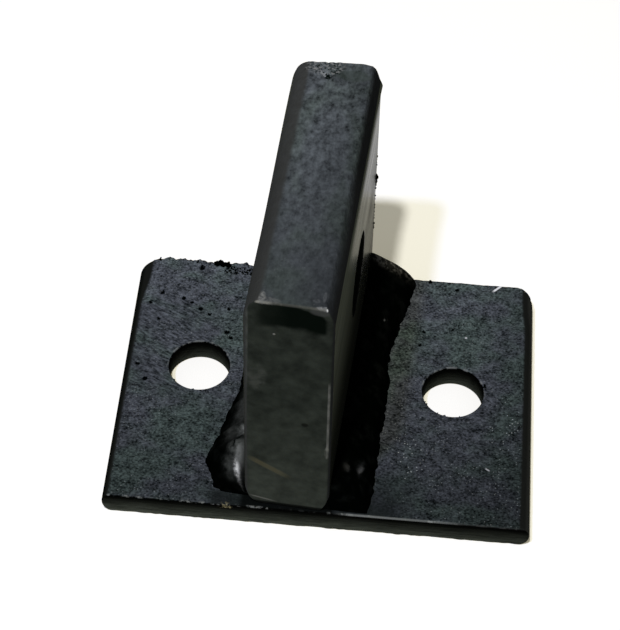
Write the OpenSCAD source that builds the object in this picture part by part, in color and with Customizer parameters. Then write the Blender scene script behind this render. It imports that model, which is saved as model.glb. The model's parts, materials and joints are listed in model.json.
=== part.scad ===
// Bolt-on padlock hasp: a length of thick flat bar welded on edge to a two-hole base plate.
// Seen from the front, X runs to the right, Y to the back and Z up from the plate's underside.

/* [Base plate] */
// Width of the flat bar that the plate is cut from
plate_w = 80; // [72:1:120]
// Length that the plate is cut to, front to back
plate_l = 59; // [50:1:100]
// Thickness of the plate
plate_t = 5; // [3:0.5:10]
// How far the rolled side edges bulge out past the flat top
plate_edge_bulge = 1.8; // [0.6:0.1:2.4]
// Radius that the back left corner is knocked round to
plate_corner_left = 2.8; // [0.5:0.1:6]
// Radius that the back right corner is knocked round to
plate_corner_right = 2.6; // [0.5:0.1:6]

/* [Fixing holes] */
// Diameter of the two fixing holes
fix_hole_d = 12; // [6:0.5:14]
// Distance between the two holes, side to side
fix_hole_spacing = 50; // [48:0.5:56]
// How far the pair lies to the right of the plate's middle
fix_pair_x = -0.4; // [-2:0.1:2]
// How far the pair lies behind the plate's middle
fix_pair_y = 2.3; // [-6:0.1:6]
// How much further back the left hole is drilled than the right one
fix_stagger = 1.6; // [0:0.1:4]

/* [Lock bar] */
// Thickness of the upright bar
bar_t = 16; // [10:0.5:20]
// Height of the bar above the plate
bar_h = 59; // [45:1:90]
// Length of the bar, front to back
bar_l = 59; // [45:1:90]
// How far the bar stands to the right of the plate's middle
bar_x = -3.3; // [-6:0.1:6]
// How far the bar's middle lies behind the plate's middle
bar_y = 0.7; // [-4:0.1:4]
// Angle that the bar is set at, off square to the plate
bar_skew = 3.4; // [-6:0.1:6]
// Width of the rolled corners along the bar's left side
bar_corner_w_left = 2.8; // [0.8:0.1:4]
// Width of the rolled corners along the bar's right side
bar_corner_w_right = 1.7; // [0.8:0.1:4]
// Height of the rolled corners
bar_corner_h = 4.8; // [1:0.1:6]
// Bevel on the upright edges of the bar's cut ends
bar_end_ease = 1; // [0.2:0.1:1.5]
// Angle that the bar's back end is cut at, off square to the bar
bar_back_cut = 5; // [-6:0.5:6]

/* [Padlock hole] */
// Diameter of the padlock hole
lock_hole_d = 16; // [8:0.5:24]
// Height of the padlock hole's centre above the plate
lock_hole_h = 29.5; // [24:0.5:34]
// How far the padlock hole's centre lies behind the bar's middle
lock_hole_back = 4.5; // [-6:0.5:6]

/* [Left weld] */
// Leg of the left weld on the plate at its front end
weld_left_front = 6.2; // [4:0.1:9]
// Leg of the left weld just in front of the swell
weld_left_heel = 6.9; // [4:0.1:9]
// Distance of that place behind the bar's front end
weld_left_heel_at = 4.5; // [2:0.1:6]
// Leg of the left weld at its widest
weld_left_swell = 9; // [5:0.1:12]
// Distance of the widest place behind the bar's front end
weld_left_swell_at = 8.8; // [7:0.1:12]
// Leg of the left weld at the shoulder behind the swell
weld_left_shoulder = 7.2; // [4:0.1:9]
// Distance of the shoulder behind the bar's front end
weld_left_shoulder_at = 13; // [12.5:0.5:20]
// Leg of the left weld along its back half
weld_left_back = 5.4; // [4:0.1:9]
// Distance behind the bar's front end at which the back half starts
weld_left_tail_at = 26; // [20:0.5:40]
// How far the left weld stops short of the front
weld_left_front_gap = 1.6; // [0.1:0.1:6]
// How far the left weld stops short of the back
weld_left_back_gap = 1.6; // [0.1:0.1:6]

/* [Right weld] */
// Leg of the right weld on the plate along its front half
weld_right_front = 7.5; // [4:0.1:10]
// Leg of the right weld at its waist
weld_right_waist = 6.5; // [4:0.1:9]
// Distance of the waist in front of the bar's back end
weld_right_waist_at = 21; // [8:0.5:22]
// Leg of the right weld at its back end
weld_right_back = 9.4; // [4:0.1:12]
// How far the right weld stops short of the front
weld_right_front_gap = 0.1; // [0.1:0.1:6]
// How far the right weld stops short of the back
weld_right_back_gap = 0.5; // [0.1:0.1:6]

/* [Both welds] */
// Height of the welds up the sides of the bar
weld_rise = 7.6; // [4:0.1:12]
// Length over which a weld's ends round off
weld_end_round = 2; // [1:0.1:5]
// Distance from one ripple of the weld to the next
weld_ripple_pitch = 3.4; // [2:0.1:6]
// Height of the ripples
weld_ripple_h = 0.22; // [0.05:0.01:0.5]

/* [Hidden] */

// Flat pieces of a rolled plate edge and of a rolled bar corner
EDGE_STEPS = 12;
CORNER_STEPS = 5;
// A rolled corner follows a superellipse: 2 is an ellipse and 1 a straight bevel
CORNER_POWER_LEFT = 1.7;
CORNER_POWER_RIGHT = 1.2;
// The weld's face follows the same kind of curve, a little fuller than a straight bevel
WELD_POWER = 1.35;
// Points across a weld's face, and distance from one cross-section to the next
WELD_FACE_STEPS = 7;
WELD_STATION = 1.2;
// How much of its legs a weld keeps at its front end, where it runs out, and at its blunt back end
WELD_FRONT_SHARE = 0.65;
WELD_BACK_SHARE = 0.93;
// How far a ripple's crest trails at the middle of the weld's face
WELD_RIPPLE_LAG = 1.4;
// How far a weld reaches into the plate and the bar before they are cut out of it
WELD_ROOT = 0.8;
// How far a cutter runs past the faces that it cuts
CUT_PAST = 1;
$fn = 96;

PAINT_BLACK = [0.16, 0.17, 0.18];
PAINT_BAR = [0.20, 0.21, 0.21];
WELD_BLACK = [0.06, 0.06, 0.06];

bar_mid_h = bar_h / 2;
front_y = -bar_l / 2;
back_y = bar_l / 2;

function smooth(s) = let (c = min(max(s, 0), 1)) c * c * (3 - 2 * c);
function ease(a, b, from, to, at) = a + (b - a) * smooth((at - from) / (to - from));

// One superellipse quarter from [1, 0] round to [0, 1]
function quarter(steps, power) = [
    for (i = [0:steps])
        let (a = 90 * i / steps)
        [pow(cos(a), 2 / power), pow(sin(a), 2 / power)]
];

function reversed(points) = [for (i = [len(points) - 1:-1:0]) points[i]];

// Half-round side of the plate's section, from its underside up to its top
function plate_side() = [
    for (i = [0:EDGE_STEPS])
        let (a = -90 + 180 * i / EDGE_STEPS)
        [plate_w / 2 - plate_edge_bulge * (1 - cos(a)), plate_t / 2 * (1 + sin(a))]
];

// Upper rolled corner of the bar at its outer side, from the side up to the top
function bar_corner(corner_w, power) = [
    for (p = quarter(CORNER_STEPS, power))
        [bar_t / 2 - corner_w * (1 - p[0]), bar_mid_h - bar_corner_h * (1 - p[1])]
];

// Right half of the bar's section about its middle, from the lower corner up to the upper one
function bar_side(corner_w, power) = concat(
    [for (p = reversed(bar_corner(corner_w, power))) [p[0], -p[1]]],
    bar_corner(corner_w, power)
);

function mirrored(points) = [for (p = reversed(points)) [-p[0], p[1]]];

// Runs a section in X and Z along Y, centred on the origin
module run_along_y(length, section) {
    rotate([90, 0, 0])
        linear_extrude(length, center = true)
            polygon(section);
}

// Places what is modelled about the bar's foot onto the plate
module on_plate() {
    translate([bar_x, bar_y, plate_t])
        rotate([0, 0, -bar_skew])
            children();
}

module fixing_hole(side) {
    translate([fix_pair_x + side * fix_hole_spacing / 2, fix_pair_y - side * fix_stagger / 2, -CUT_PAST])
        cylinder(d = fix_hole_d, h = plate_t + 2 * CUT_PAST);
}

// What is knocked off a back corner of the plate, outside its round
module corner_chip(side, radius) {
    translate([side * plate_w / 2, plate_l / 2])
        difference() {
            square(2 * radius, center = true);
            translate([-side * radius, -radius])
                circle(radius);
        }
}

// Plate seen from above
module plate_plan() {
    difference() {
        square([plate_w, plate_l], center = true);
        corner_chip(-1, plate_corner_left);
        corner_chip(1, plate_corner_right);
    }
}

// Plate blank: the rolled section cut to length, with its back corners rounded
module plate_blank() {
    intersection() {
        run_along_y(plate_l, concat(plate_side(), mirrored(plate_side())));
        linear_extrude(plate_t)
            plate_plan();
    }
}

module base_plate() {
    color(PAINT_BLACK)
        difference() {
            plate_blank();
            fixing_hole(-1);
            fixing_hole(1);
        }
}

// How far back the bar's end lies at a distance x from its middle
function bar_back(x) = bar_l / 2 + x * tan(bar_back_cut);

// Bar seen from above, with its upright end edges bevelled
module bar_plan() {
    half_t = bar_t / 2;
    in_t = half_t - bar_end_ease;
    polygon([
        [in_t, front_y],
        [half_t, front_y + bar_end_ease],
        [half_t, bar_back(in_t) - bar_end_ease],
        [in_t, bar_back(in_t)],
        [-in_t, bar_back(-in_t)],
        [-half_t, bar_back(-in_t) - bar_end_ease],
        [-half_t, front_y + bar_end_ease],
        [-in_t, front_y]
    ]);
}

// Section of the bar about its middle, with a corner profile of its own on each side
function bar_section() = concat(
    bar_side(bar_corner_w_right, CORNER_POWER_RIGHT),
    mirrored(bar_side(bar_corner_w_left, CORNER_POWER_LEFT))
);

// Bar blank standing on the plate
module bar_blank() {
    on_plate()
        intersection() {
            translate([0, 0, bar_mid_h])
                run_along_y(bar_l + bar_t, bar_section());
            linear_extrude(bar_h)
                bar_plan();
        }
}

module lock_bar() {
    color(PAINT_BAR)
        difference() {
            bar_blank();
            on_plate()
                translate([0, lock_hole_back, lock_hole_h])
                    rotate([0, 90, 0])
                        cylinder(d = lock_hole_d, h = bar_t + 2 * CUT_PAST, center = true);
        }
}

// Places along the bar where a weld's leg on the plate is set, and the legs there
left_legs = [
    [front_y, weld_left_front],
    [front_y + weld_left_heel_at, weld_left_heel],
    [front_y + weld_left_swell_at, weld_left_swell],
    [front_y + weld_left_shoulder_at, weld_left_shoulder],
    [front_y + weld_left_tail_at, weld_left_back]
];
right_legs = [
    [0, weld_right_front],
    [back_y - weld_right_waist_at, weld_right_waist],
    [back_y, weld_right_back]
];

// Eases from stop to stop; before the first and behind the last the value stays
function through(stops, at, k = 0) = k < len(stops) - 2 && at > stops[k + 1][0]
    ? through(stops, at, k + 1)
    : ease(stops[k][1], stops[k + 1][1], stops[k][0], stops[k + 1][0], at);
function leg(side, y) = through(side > 0 ? right_legs : left_legs, y);

// Place along the bar at which the plate ends, at a distance x from the bar's middle
function plate_end(end, x) = (end * plate_l / 2 - bar_y + x * sin(bar_skew)) / cos(bar_skew);
// First and last place along the bar that has both bar and plate under the whole weld
function weld_reach(side, end) = let (
    inner = side * bar_t / 2,
    outer = side * (bar_t / 2 + leg(side, end * bar_l / 2)),
    bar_end = end > 0 ? min(bar_l / 2, bar_back(inner)) : bar_l / 2
) min(bar_end, end * plate_end(end, inner), end * plate_end(end, outer));
function weld_front(side) = (side > 0 ? weld_right_front_gap : weld_left_front_gap) - weld_reach(side, -1);
function weld_back(side) = weld_reach(side, 1) - (side > 0 ? weld_right_back_gap : weld_left_back_gap);

// A weld's ends round off like a quarter circle, down to the least share of its legs
function end_share(distance, least) = let (s = 1 - min(max(distance, 0) / weld_end_round, 1))
    least + (1 - least) * sqrt(1 - s * s);

// One cross-section of a weld, round its face and back through the bar and the plate
function weld_ring(side, y) = let (
    front_share = end_share(y - weld_front(side), WELD_FRONT_SHARE),
    share = front_share * end_share(weld_back(side) - y, WELD_BACK_SHARE),
    foot = leg(side, y) * share,
    rise = weld_rise * share,
    root = bar_t / 2 - max(bar_corner_w_left, bar_corner_w_right) - WELD_ROOT,
    face = quarter(WELD_FACE_STEPS, WELD_POWER)
) concat(
    [[side * (bar_t / 2 + foot), y, -WELD_ROOT]],
    [
        for (i = [1:WELD_FACE_STEPS - 1])
            let (
                lag = WELD_RIPPLE_LAG * sin(180 * i / WELD_FACE_STEPS),
                swell = 1 + weld_ripple_h / foot * cos(360 * (y + lag) / weld_ripple_pitch)
            )
            [side * (bar_t / 2 + foot * face[i][0] * swell), y, rise * face[i][1] * swell]
    ],
    [
        [side * (bar_t / 2 - WELD_ROOT), y, rise],
        [side * root, y, rise],
        [side * root, y, -WELD_ROOT]
    ]
);

// A closed skin over rings of points that all have the same number of points
module skin(rings, flip) {
    n = len(rings[0]);
    last = len(rings) - 1;
    walls = [
        for (k = [0:last - 1], i = [0:n - 1])
            let (j = (i + 1) % n)
            each [
                [k * n + i, k * n + j, (k + 1) * n + j],
                [k * n + i, (k + 1) * n + j, (k + 1) * n + i]
            ]
    ];
    caps = [
        [for (i = [n - 1:-1:0]) i],
        [for (i = [0:n - 1]) last * n + i]
    ];
    faces = concat(walls, caps);
    polyhedron(
        points = [for (ring = rings) each ring],
        faces = flip ? [for (face = faces) reversed(face)] : faces
    );
}

// Fillet weld along one side of the bar, seated on the plate and against the bar
module fillet_weld(side) {
    from = weld_front(side);
    to = weld_back(side);
    stations = ceil((to - from) / WELD_STATION);
    difference() {
        on_plate()
            skin([for (k = [0:stations]) weld_ring(side, from + (to - from) * k / stations)], side < 0);
        plate_blank();
        bar_blank();
    }
}

module weld_left() {
    color(WELD_BLACK)
        fillet_weld(-1);
}

module weld_right() {
    color(WELD_BLACK)
        fillet_weld(1);
}

base_plate();
lock_bar();
weld_left();
weld_right();
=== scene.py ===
# %% [markdown]
# # A bolt-on padlock hasp
# The object is the fixed half of a heavy padlock hasp. A length of thick flat bar stands on edge on a
# two-hole base plate, a fillet weld runs down each side of it, and the whole thing has been brushed with
# black paint. The solids come from a CAD frame, at their real size and in their real place. Everything
# here dresses those solids: finer edges, lumpy welds, torn edges, pits and paint. Nothing is moved.

# %% Load the frame
import json
import math

import bmesh
import bpy
import numpy as np
from mathutils import Matrix, Vector, noise
from mathutils.geometry import delaunay_2d_cdt
from mathutils.kdtree import KDTree


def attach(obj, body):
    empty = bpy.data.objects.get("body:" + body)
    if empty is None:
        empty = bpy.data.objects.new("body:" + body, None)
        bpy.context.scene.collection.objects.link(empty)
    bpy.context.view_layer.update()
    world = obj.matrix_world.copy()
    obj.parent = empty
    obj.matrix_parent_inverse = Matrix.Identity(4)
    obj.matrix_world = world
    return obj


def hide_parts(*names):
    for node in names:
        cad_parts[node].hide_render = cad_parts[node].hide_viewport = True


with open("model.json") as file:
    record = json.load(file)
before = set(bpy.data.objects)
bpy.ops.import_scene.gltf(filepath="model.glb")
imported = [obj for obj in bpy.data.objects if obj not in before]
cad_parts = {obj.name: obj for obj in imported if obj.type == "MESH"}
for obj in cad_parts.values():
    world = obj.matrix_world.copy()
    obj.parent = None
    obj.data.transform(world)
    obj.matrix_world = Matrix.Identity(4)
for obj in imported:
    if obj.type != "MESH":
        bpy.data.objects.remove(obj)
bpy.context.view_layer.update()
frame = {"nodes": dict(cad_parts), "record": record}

MM = 0.001
print("nodes in the frame:", sorted(frame["nodes"]))

# %% [markdown]
# ## The camera
# The picture looks down on the hasp from the front, from a little to the right, with a long lens. A camera
# is placed by an angle round the object, an angle above the floor, a distance and a small roll, and those
# four are easier to tune than a bare position. The three axes of the camera are then worked out by hand,
# because a tracking constraint could not hold the roll.

# %% Camera
LENS_MM = 132.44
AROUND_DEG = 4.18
ABOVE_DEG = 50.5
ROLL_DEG = 1.355
CAMERA_AWAY = 435.74 * MM
LOOK_AT = Vector((-3.6, 0, 27)) * MM


def direction(around_deg, above_deg):
    """The unit vector from the object towards a place round it and above it."""
    around, above = math.radians(around_deg), math.radians(above_deg)
    flat = math.cos(above)
    return Vector((math.sin(around) * flat, -math.cos(around) * flat, math.sin(above)))


def make_camera():
    back = direction(AROUND_DEG, ABOVE_DEG)
    level = Vector((math.cos(math.radians(AROUND_DEG)), math.sin(math.radians(AROUND_DEG)), 0))
    upright = back.cross(level)
    roll = math.radians(ROLL_DEG)
    right = level * math.cos(roll) + upright * math.sin(roll)
    up = upright * math.cos(roll) - level * math.sin(roll)
    camera = bpy.data.objects.new("camera", bpy.data.cameras.new("camera"))
    camera.data.lens = LENS_MM
    turn = Matrix((right, up, back)).transposed()
    camera.matrix_world = Matrix.Translation(LOOK_AT + back * CAMERA_AWAY) @ turn.to_4x4()
    bpy.context.scene.collection.objects.link(camera)
    bpy.context.scene.camera = camera
    return camera


camera = make_camera()
print("camera stands at", [round(c / MM, 1) for c in camera.location], "mm")

# %% [markdown]
# ## Arithmetic with nodes
# Every finish below is a tree of nodes. A Math node for each plus and times takes a line of its own and
# hides what is worked out. So a field, a value that changes over a surface, is wrapped in a small class:
# where the script says a * b + c, the class adds and links the nodes. On any input, a plain number or
# colour is set, and a field is linked.

# %% Node helpers
class Field:
    """A value that changes over a surface: an output of a node, with plain arithmetic."""

    def __init__(self, socket):
        self.socket = socket
        self.tree = socket.id_data

    def __add__(self, other):
        return maths("ADD", self, other)

    def __sub__(self, other):
        return maths("SUBTRACT", self, other)

    def __rsub__(self, other):
        return maths("SUBTRACT", other, self)

    def __mul__(self, other):
        return maths("MULTIPLY", self, other)

    def __truediv__(self, other):
        return maths("DIVIDE", self, other)

    def __rtruediv__(self, other):
        return maths("DIVIDE", other, self)

    def __pow__(self, other):
        return maths("POWER", self, other)

    def __abs__(self):
        return maths("ABSOLUTE", self)


def feed(node, inputs):
    """Sets a node's inputs by name or number, or links them where the value is a field."""
    for key, value in inputs.items():
        if isinstance(value, Field):
            value.tree.links.new(value.socket, node.inputs[key])
        else:
            node.inputs[key].default_value = value


def add(tree, kind, inputs=None, **settings):
    """Adds a node, sets its properties, then feeds its inputs."""
    node = tree.nodes.new(kind)
    for key, value in settings.items():
        setattr(node, key, value)
    feed(node, inputs or {})
    return node


def field(tree, kind, inputs=None, output=0, **settings):
    """One output of a new node, by name or number."""
    return Field(add(tree, kind, inputs, **settings).outputs[output])


def fields(node):
    """All outputs of a node, by name."""
    return {socket.name: Field(socket) for socket in node.outputs}


def maths(operation, *values):
    """One step of arithmetic between fields and numbers."""
    tree = next(value.tree for value in values if isinstance(value, Field))
    return field(tree, "ShaderNodeMath", dict(enumerate(values)), operation=operation)


def largest(first, *others):
    whole = first
    for other in others:
        whole = maths("MAXIMUM", whole, other)
    return whole


def rise(value, low, high):
    """A soft step from 0 at low to 1 at high; it falls where low is the larger."""
    inputs = {"Value": value, "From Min": low, "From Max": high}
    return field(value.tree, "ShaderNodeMapRange", inputs, interpolation_type="SMOOTHSTEP")


def spread(value, low, high, to_low, to_high):
    """A straight stretch of one range of values onto another."""
    inputs = {"Value": value, "From Min": low, "From Max": high, "To Min": to_low, "To Max": to_high}
    return field(value.tree, "ShaderNodeMapRange", inputs)


def scaled(vector, share):
    """A vector or a colour made longer or shorter by a field."""
    return field(share.tree, "ShaderNodeVectorMath", {0: vector, "Scale": share}, operation="SCALE")


def colour(red, green, blue):
    return (red, green, blue, 1)


print("fields add, subtract, multiply, divide and take powers")

# %% [markdown]
# ## Floor and light
# The hasp lies on a white floor under two small lamps up in front of it, a little to the left, a warm one
# and a weaker cold one. Together they are white, and each throws a short shadow of its own, so the place
# that only the cold one misses looks faintly yellow. A dome of pale light fills the rest. To the camera
# and in reflections the floor glows a little, so that it reads as white where nothing shades it, and the
# object itself gets no light for that: the glow is switched by the kind of ray.

# %% Floor, lamps and dome
FLOOR_SIZE = 6
FLOOR_DROP = 0.05 * MM
FLOOR_COLOUR = colour(0.92, 0.92, 0.92)
FLOOR_GLOW = colour(0.195, 0.172, 0.10)
FLOOR_ROUGHNESS = 0.9
FLOOR_SPECULAR = 0.1
DOME_COLOUR = colour(0.95, 0.98, 1)
DOME_LEVEL = 0.22
LAMP_AWAY = 1.2
LAMP_SIZE = 0.055
LAMPS = (
    # name, degrees round, degrees above, level of light that it gives to a white card, tint
    ("lamp_main", -14.1, 70.6, 0.65, (1, 0.97, 0.84)),
    ("lamp_side", -31.3, 67.5, 0.36, (0.48, 0.57, 1)),
)


def seen_ray(tree):
    """1 for rays that show a surface to the camera, straight, mirrored or through glass."""
    path = fields(add(tree, "ShaderNodeLightPath"))
    return largest(path["Is Camera Ray"], path["Is Glossy Ray"], path["Is Transmission Ray"])


def make_floor():
    material = bpy.data.materials.new("floor_white")
    material.use_nodes = True
    tree = material.node_tree
    paper = {
        "Base Color": FLOOR_COLOUR,
        "Roughness": FLOOR_ROUGHNESS,
        "Specular IOR Level": FLOOR_SPECULAR,
        "Emission Color": FLOOR_GLOW,
        "Emission Strength": seen_ray(tree),
    }
    feed(tree.nodes["Principled BSDF"], paper)
    half = FLOOR_SIZE / 2
    corners = [(x, y, -FLOOR_DROP) for x, y in ((-half, -half), (half, -half), (half, half), (-half, half))]
    mesh = bpy.data.meshes.new("floor")
    mesh.from_pydata(corners, [], [(0, 1, 2, 3)])
    mesh.materials.append(material)
    floor = bpy.data.objects.new("floor", mesh)
    bpy.context.scene.collection.objects.link(floor)


def make_lamp(name, around_deg, above_deg, level, tinted):
    light = bpy.data.lights.new(name, "AREA")
    light.shape = "DISK"
    light.size = LAMP_SIZE
    light.color = tinted
    light.energy = level * math.pi**2 * LAMP_AWAY**2
    lamp = bpy.data.objects.new(name, light)
    towards = direction(around_deg, above_deg)
    lamp.location = towards * LAMP_AWAY
    lamp.rotation_euler = towards.to_track_quat("Z", "Y").to_euler()
    bpy.context.scene.collection.objects.link(lamp)


def make_dome():
    world = bpy.data.worlds.new("dome")
    world.use_nodes = True
    tree = world.node_tree
    straight = field(tree, "ShaderNodeLightPath", output="Is Camera Ray")
    strength = spread(straight, 0, 1, DOME_LEVEL, 1)
    feed(tree.nodes["Background"], {"Color": DOME_COLOUR, "Strength": strength})
    bpy.context.scene.world = world


make_floor()
for lamp in LAMPS:
    make_lamp(*lamp)
make_dome()
bpy.context.scene.view_settings.view_transform = "Standard"
print("lamps:", [lamp[0] for lamp in LAMPS])

# %% [markdown]
# ## Reading sizes from the frame
# A dressed piece must lie exactly where its solid lies, so the sizes are read from the frame and not typed
# again. The bar stands a few degrees off square. The padlock hole's axis tells by how much, and gives the
# bar a frame of its own: x across it, y along it to the back, z up from the plate. All work on shapes is
# done in millimetres, and a mesh is turned into metres when it is made.

# %% Sizes of the plate
TOUCH = 0.01
mounts = {mount["name"]: mount for mount in frame["record"]["mounts"]}


def corners_of(piece):
    """The corners of a piece or a CAD node, in millimetres."""
    flat = np.empty(len(piece.data.vertices) * 3, np.float32)
    piece.data.vertices.foreach_get("co", flat)
    return flat.reshape(-1, 3).astype(float) / MM


plate_points = corners_of(frame["nodes"]["base_plate"])
plate_half = plate_points.max(0)[:2]
plate_t = plate_points[:, 2].max()
plate_top_points = plate_points[plate_points[:, 2] > plate_t - TOUCH]
edge_bulge = plate_half[0] - plate_top_points[:, 0].max()
print("plate", plate_half * 2, plate_t, "edge", round(edge_bulge, 2))

# %% Sizes of the bar
bar_across = np.array(mounts["padlock_hole"]["axis"][:2])
bar_along = np.array((-bar_across[1], bar_across[0]))
bar_skew = math.atan2(-bar_across[1], bar_across[0])
bar_flat = corners_of(frame["nodes"]["lock_bar"])
across, along = bar_flat[:, :2] @ bar_across, bar_flat[:, :2] @ bar_along
middle = (across.max() + across.min()) / 2
right_end = np.argmax(np.where(across > middle, along, -np.inf))
left_end = np.argmax(np.where(across < middle, along, -np.inf))
bar_cut = (along[right_end] - along[left_end]) / (across[right_end] - across[left_end])
bar_back = (along[right_end] + along[left_end]) / 2
bar_centre = bar_across * middle + bar_along * (along.min() + bar_back) / 2


def into_bar(points):
    """Points of the whole object, in the bar's own frame."""
    away = points[:, :2] - bar_centre
    return np.column_stack((away @ bar_across, away @ bar_along, points[:, 2] - plate_t))


def out_of_bar(points):
    """Points in the bar's own frame, placed on the whole object."""
    flat = bar_centre + points[:, :1] * bar_across + points[:, 1:2] * bar_along
    return np.column_stack((flat, points[:, 2] + plate_t))


bar_points = into_bar(bar_flat)
bar_half = np.array((bar_points[:, 0].max(), (bar_back - along.min()) / 2))
bar_h = bar_points[:, 2].max()
bar_top_points = bar_points[bar_points[:, 2] > bar_h - TOUCH]
bar_side_points = bar_points[abs(bar_points[:, 0]) > bar_half[0] - TOUCH]
corner_left = bar_half[0] + bar_top_points[:, 0].min()
corner_right = bar_half[0] - bar_top_points[:, 0].max()
corner_h = bar_h - bar_side_points[:, 2].max()
lock_hole = into_bar(np.array([mounts["padlock_hole"]["pos_m"]]) / MM)[0]
lock_hole_r = mounts["padlock_hole"]["dims"]["r_mm"]
print("bar", bar_half * 2, bar_h, "cut", round(bar_cut, 3))
print("rolled corners", round(corner_left, 2), round(corner_right, 2), round(corner_h, 2))

# %% [markdown]
# ## Cut flat bar: a stack of loops
# Both the plate and the lock bar are lengths of rolled flat bar, so both are made the same way: one loop
# round the piece is copied at many levels through its thickness, a little smaller where an edge rounds
# off. A box with a Bevel modifier would give every edge the same round, but here rolled sides, sheared ends
# and filed corners all differ, and the stack takes a size of its own at each level.

# %% Loops and walls
LOOP_STEP = 0.4


def rounded_loop(half_u, half_v, radii):
    """Points round a rectangle, anticlockwise from its low corner, with an arc at each corner."""
    signs = ((-1, -1), (1, -1), (1, 1), (-1, 1))
    arcs = []
    for k, ((sign_u, sign_v), radius) in enumerate(zip(signs, radii)):
        count = max(3, math.ceil(radius * math.pi / 2 / LOOP_STEP))
        turn = np.radians(180 + 90 * k + np.linspace(0, 90, count + 1))
        centre = np.array((sign_u * (half_u - radius), sign_v * (half_v - radius)))
        arcs.append(centre + radius * np.stack((np.cos(turn), np.sin(turn)), 1))
    points = []
    for arc, after in zip(arcs, arcs[1:] + arcs[:1]):
        gap = after[0] - arc[-1]
        count = max(1, round(np.linalg.norm(gap) / LOOP_STEP))
        points += [arc, arc[-1] + gap * np.linspace(0, 1, count + 1)[1:-1, None]]
    return np.concatenate(points)


def circle(centre, radius, count):
    turn = np.arange(count) * 2 * math.pi / count
    return np.array(centre) + radius * np.stack((np.cos(turn), np.sin(turn)), 1)


def at_depth(flat, depth):
    """Flat points with a depth added to each."""
    return np.column_stack((flat, np.full(len(flat), depth)))


def walls(rings, inwards=False):
    """Corners and quads of the wall that joins a row of closed rings, first to last."""
    count, last = len(rings[0]), len(rings) - 1
    quads = []
    for level in range(last):
        for i in range(count):
            j = (i + 1) % count
            quad = [level * count + i, level * count + j, (level + 1) * count + j, (level + 1) * count + i]
            quads.append(quad[::-1] if inwards else quad)
    return np.concatenate(rings), quads


print("loops are stepped at", LOOP_STEP, "mm")

# %% [markdown]
# ## Flat faces: a net of small triangles
# The two flat faces of a bar have drilled holes, and the top ones get small dents. A single n-gon could
# hold neither, so each face is filled with an even net of triangles. Delaunay triangulation works in the
# rims of the holes and any extra points, and the triangles inside a hole are left out. All patches are
# then merged into one closed mesh, and its open edges are counted: there should be none.

# %% Nets and closed meshes
NET = 0.55
ROW_SHARE = 0.87
RIM_CLEAR = 0.6
MERGE = 0.002 * MM


def net_points(rims, spacing, extra):
    """Points of an even net inside the first rim, kept clear of all the rims."""
    tree = KDTree(sum(map(len, rims)))
    for i, point in enumerate(np.concatenate(rims)):
        tree.insert((*point, 0), i)
    tree.balance()
    low, high = rims[0].min(0), rims[0].max(0)
    grid = []
    for k, v in enumerate(np.arange(low[1] + spacing / 2, high[1], spacing * ROW_SHARE)):
        grid += [(u + spacing / 2 * (k % 2), v) for u in np.arange(low[0], high[0], spacing)]
    return [p for p in [*extra, *grid] if tree.find((*p, 0))[2] > spacing * RIM_CLEAR]


def net(loop, holes, spacing, extra=()):
    """Triangles over a flat loop, with round holes left open and extra points worked in."""
    rims = [loop, *[ring for centre, radius, ring in holes]]
    edges, start = [], 0
    for rim in rims:
        edges += [(start + i, start + (i + 1) % len(rim)) for i in range(len(rim))]
        start += len(rim)
    corners = [Vector(p) for p in [*np.concatenate(rims), *net_points(rims, spacing, extra)]]
    flat, _, faces, *_ = delaunay_2d_cdt(corners, edges, [], 1, 1e-6)
    flat = np.array([tuple(p) for p in flat])
    kept = []
    for face in faces:
        middle = flat[face].mean(0)
        if all(np.linalg.norm(middle - centre) > radius * 0.98 for centre, radius, ring in holes):
            kept.append(list(face))
    return flat, kept


def joined(name, patches):
    """One closed mesh object from patches of corners and faces, in millimetres."""
    corners, faces, start = [], [], 0
    for points, polygons in patches:
        corners.append(points)
        faces += [[start + i for i in polygon] for polygon in polygons]
        start += len(points)
    mesh = bpy.data.meshes.new(name)
    mesh.from_pydata(np.concatenate(corners) * MM, [], faces)
    shape = bmesh.new()
    shape.from_mesh(mesh)
    bmesh.ops.remove_doubles(shape, verts=shape.verts, dist=MERGE)
    loose = [v for v in shape.verts if not v.link_faces]
    bmesh.ops.delete(shape, geom=loose, context="VERTS")
    bmesh.ops.recalc_face_normals(shape, faces=shape.faces)
    open_edges = sum(len(edge.link_faces) != 2 for edge in shape.edges)
    shape.to_mesh(mesh)
    shape.free()
    mesh.shade_smooth()
    piece = bpy.data.objects.new(name, mesh)
    bpy.context.scene.collection.objects.link(piece)
    print(name, len(mesh.vertices), "corners,", len(mesh.polygons), "faces,", open_edges, "open edges")
    return piece


print("nets are spaced at", NET, "mm")

# %% [markdown]
# ## Drilled holes and the whole bar
# A hole's wall is one more stack of rings, turned inwards, with its two rims eased a little as a drill
# leaves them. A Boolean would cut it too, but it leaves long thin triangles round the rim, and here the
# net already ends on the hole's own ring.

# %% Flat bar with holes
BORE_STEP = 0.8
RIM_STEPS = 5


def bore(centre, radius, rim, bottom, top):
    """The wall of a drilled hole with eased rims, as corners and quads."""
    count = round(math.tau * radius / LOOP_STEP)
    turn = np.linspace(0, math.pi / 2, RIM_STEPS)
    eased = [(bottom + rim * (1 - np.cos(a)), radius + rim * (1 - np.sin(a))) for a in turn]
    steps = max(3, round((top - bottom) / BORE_STEP))
    middle = [(depth, radius) for depth in np.linspace(bottom + rim, top - rim, steps)[1:-1]]
    upper = [(top + bottom - depth, wide) for depth, wide in eased[::-1]]
    rings = [at_depth(circle(centre, wide, count), depth) for depth, wide in eased + middle + upper]
    return walls(rings, inwards=True)


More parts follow.
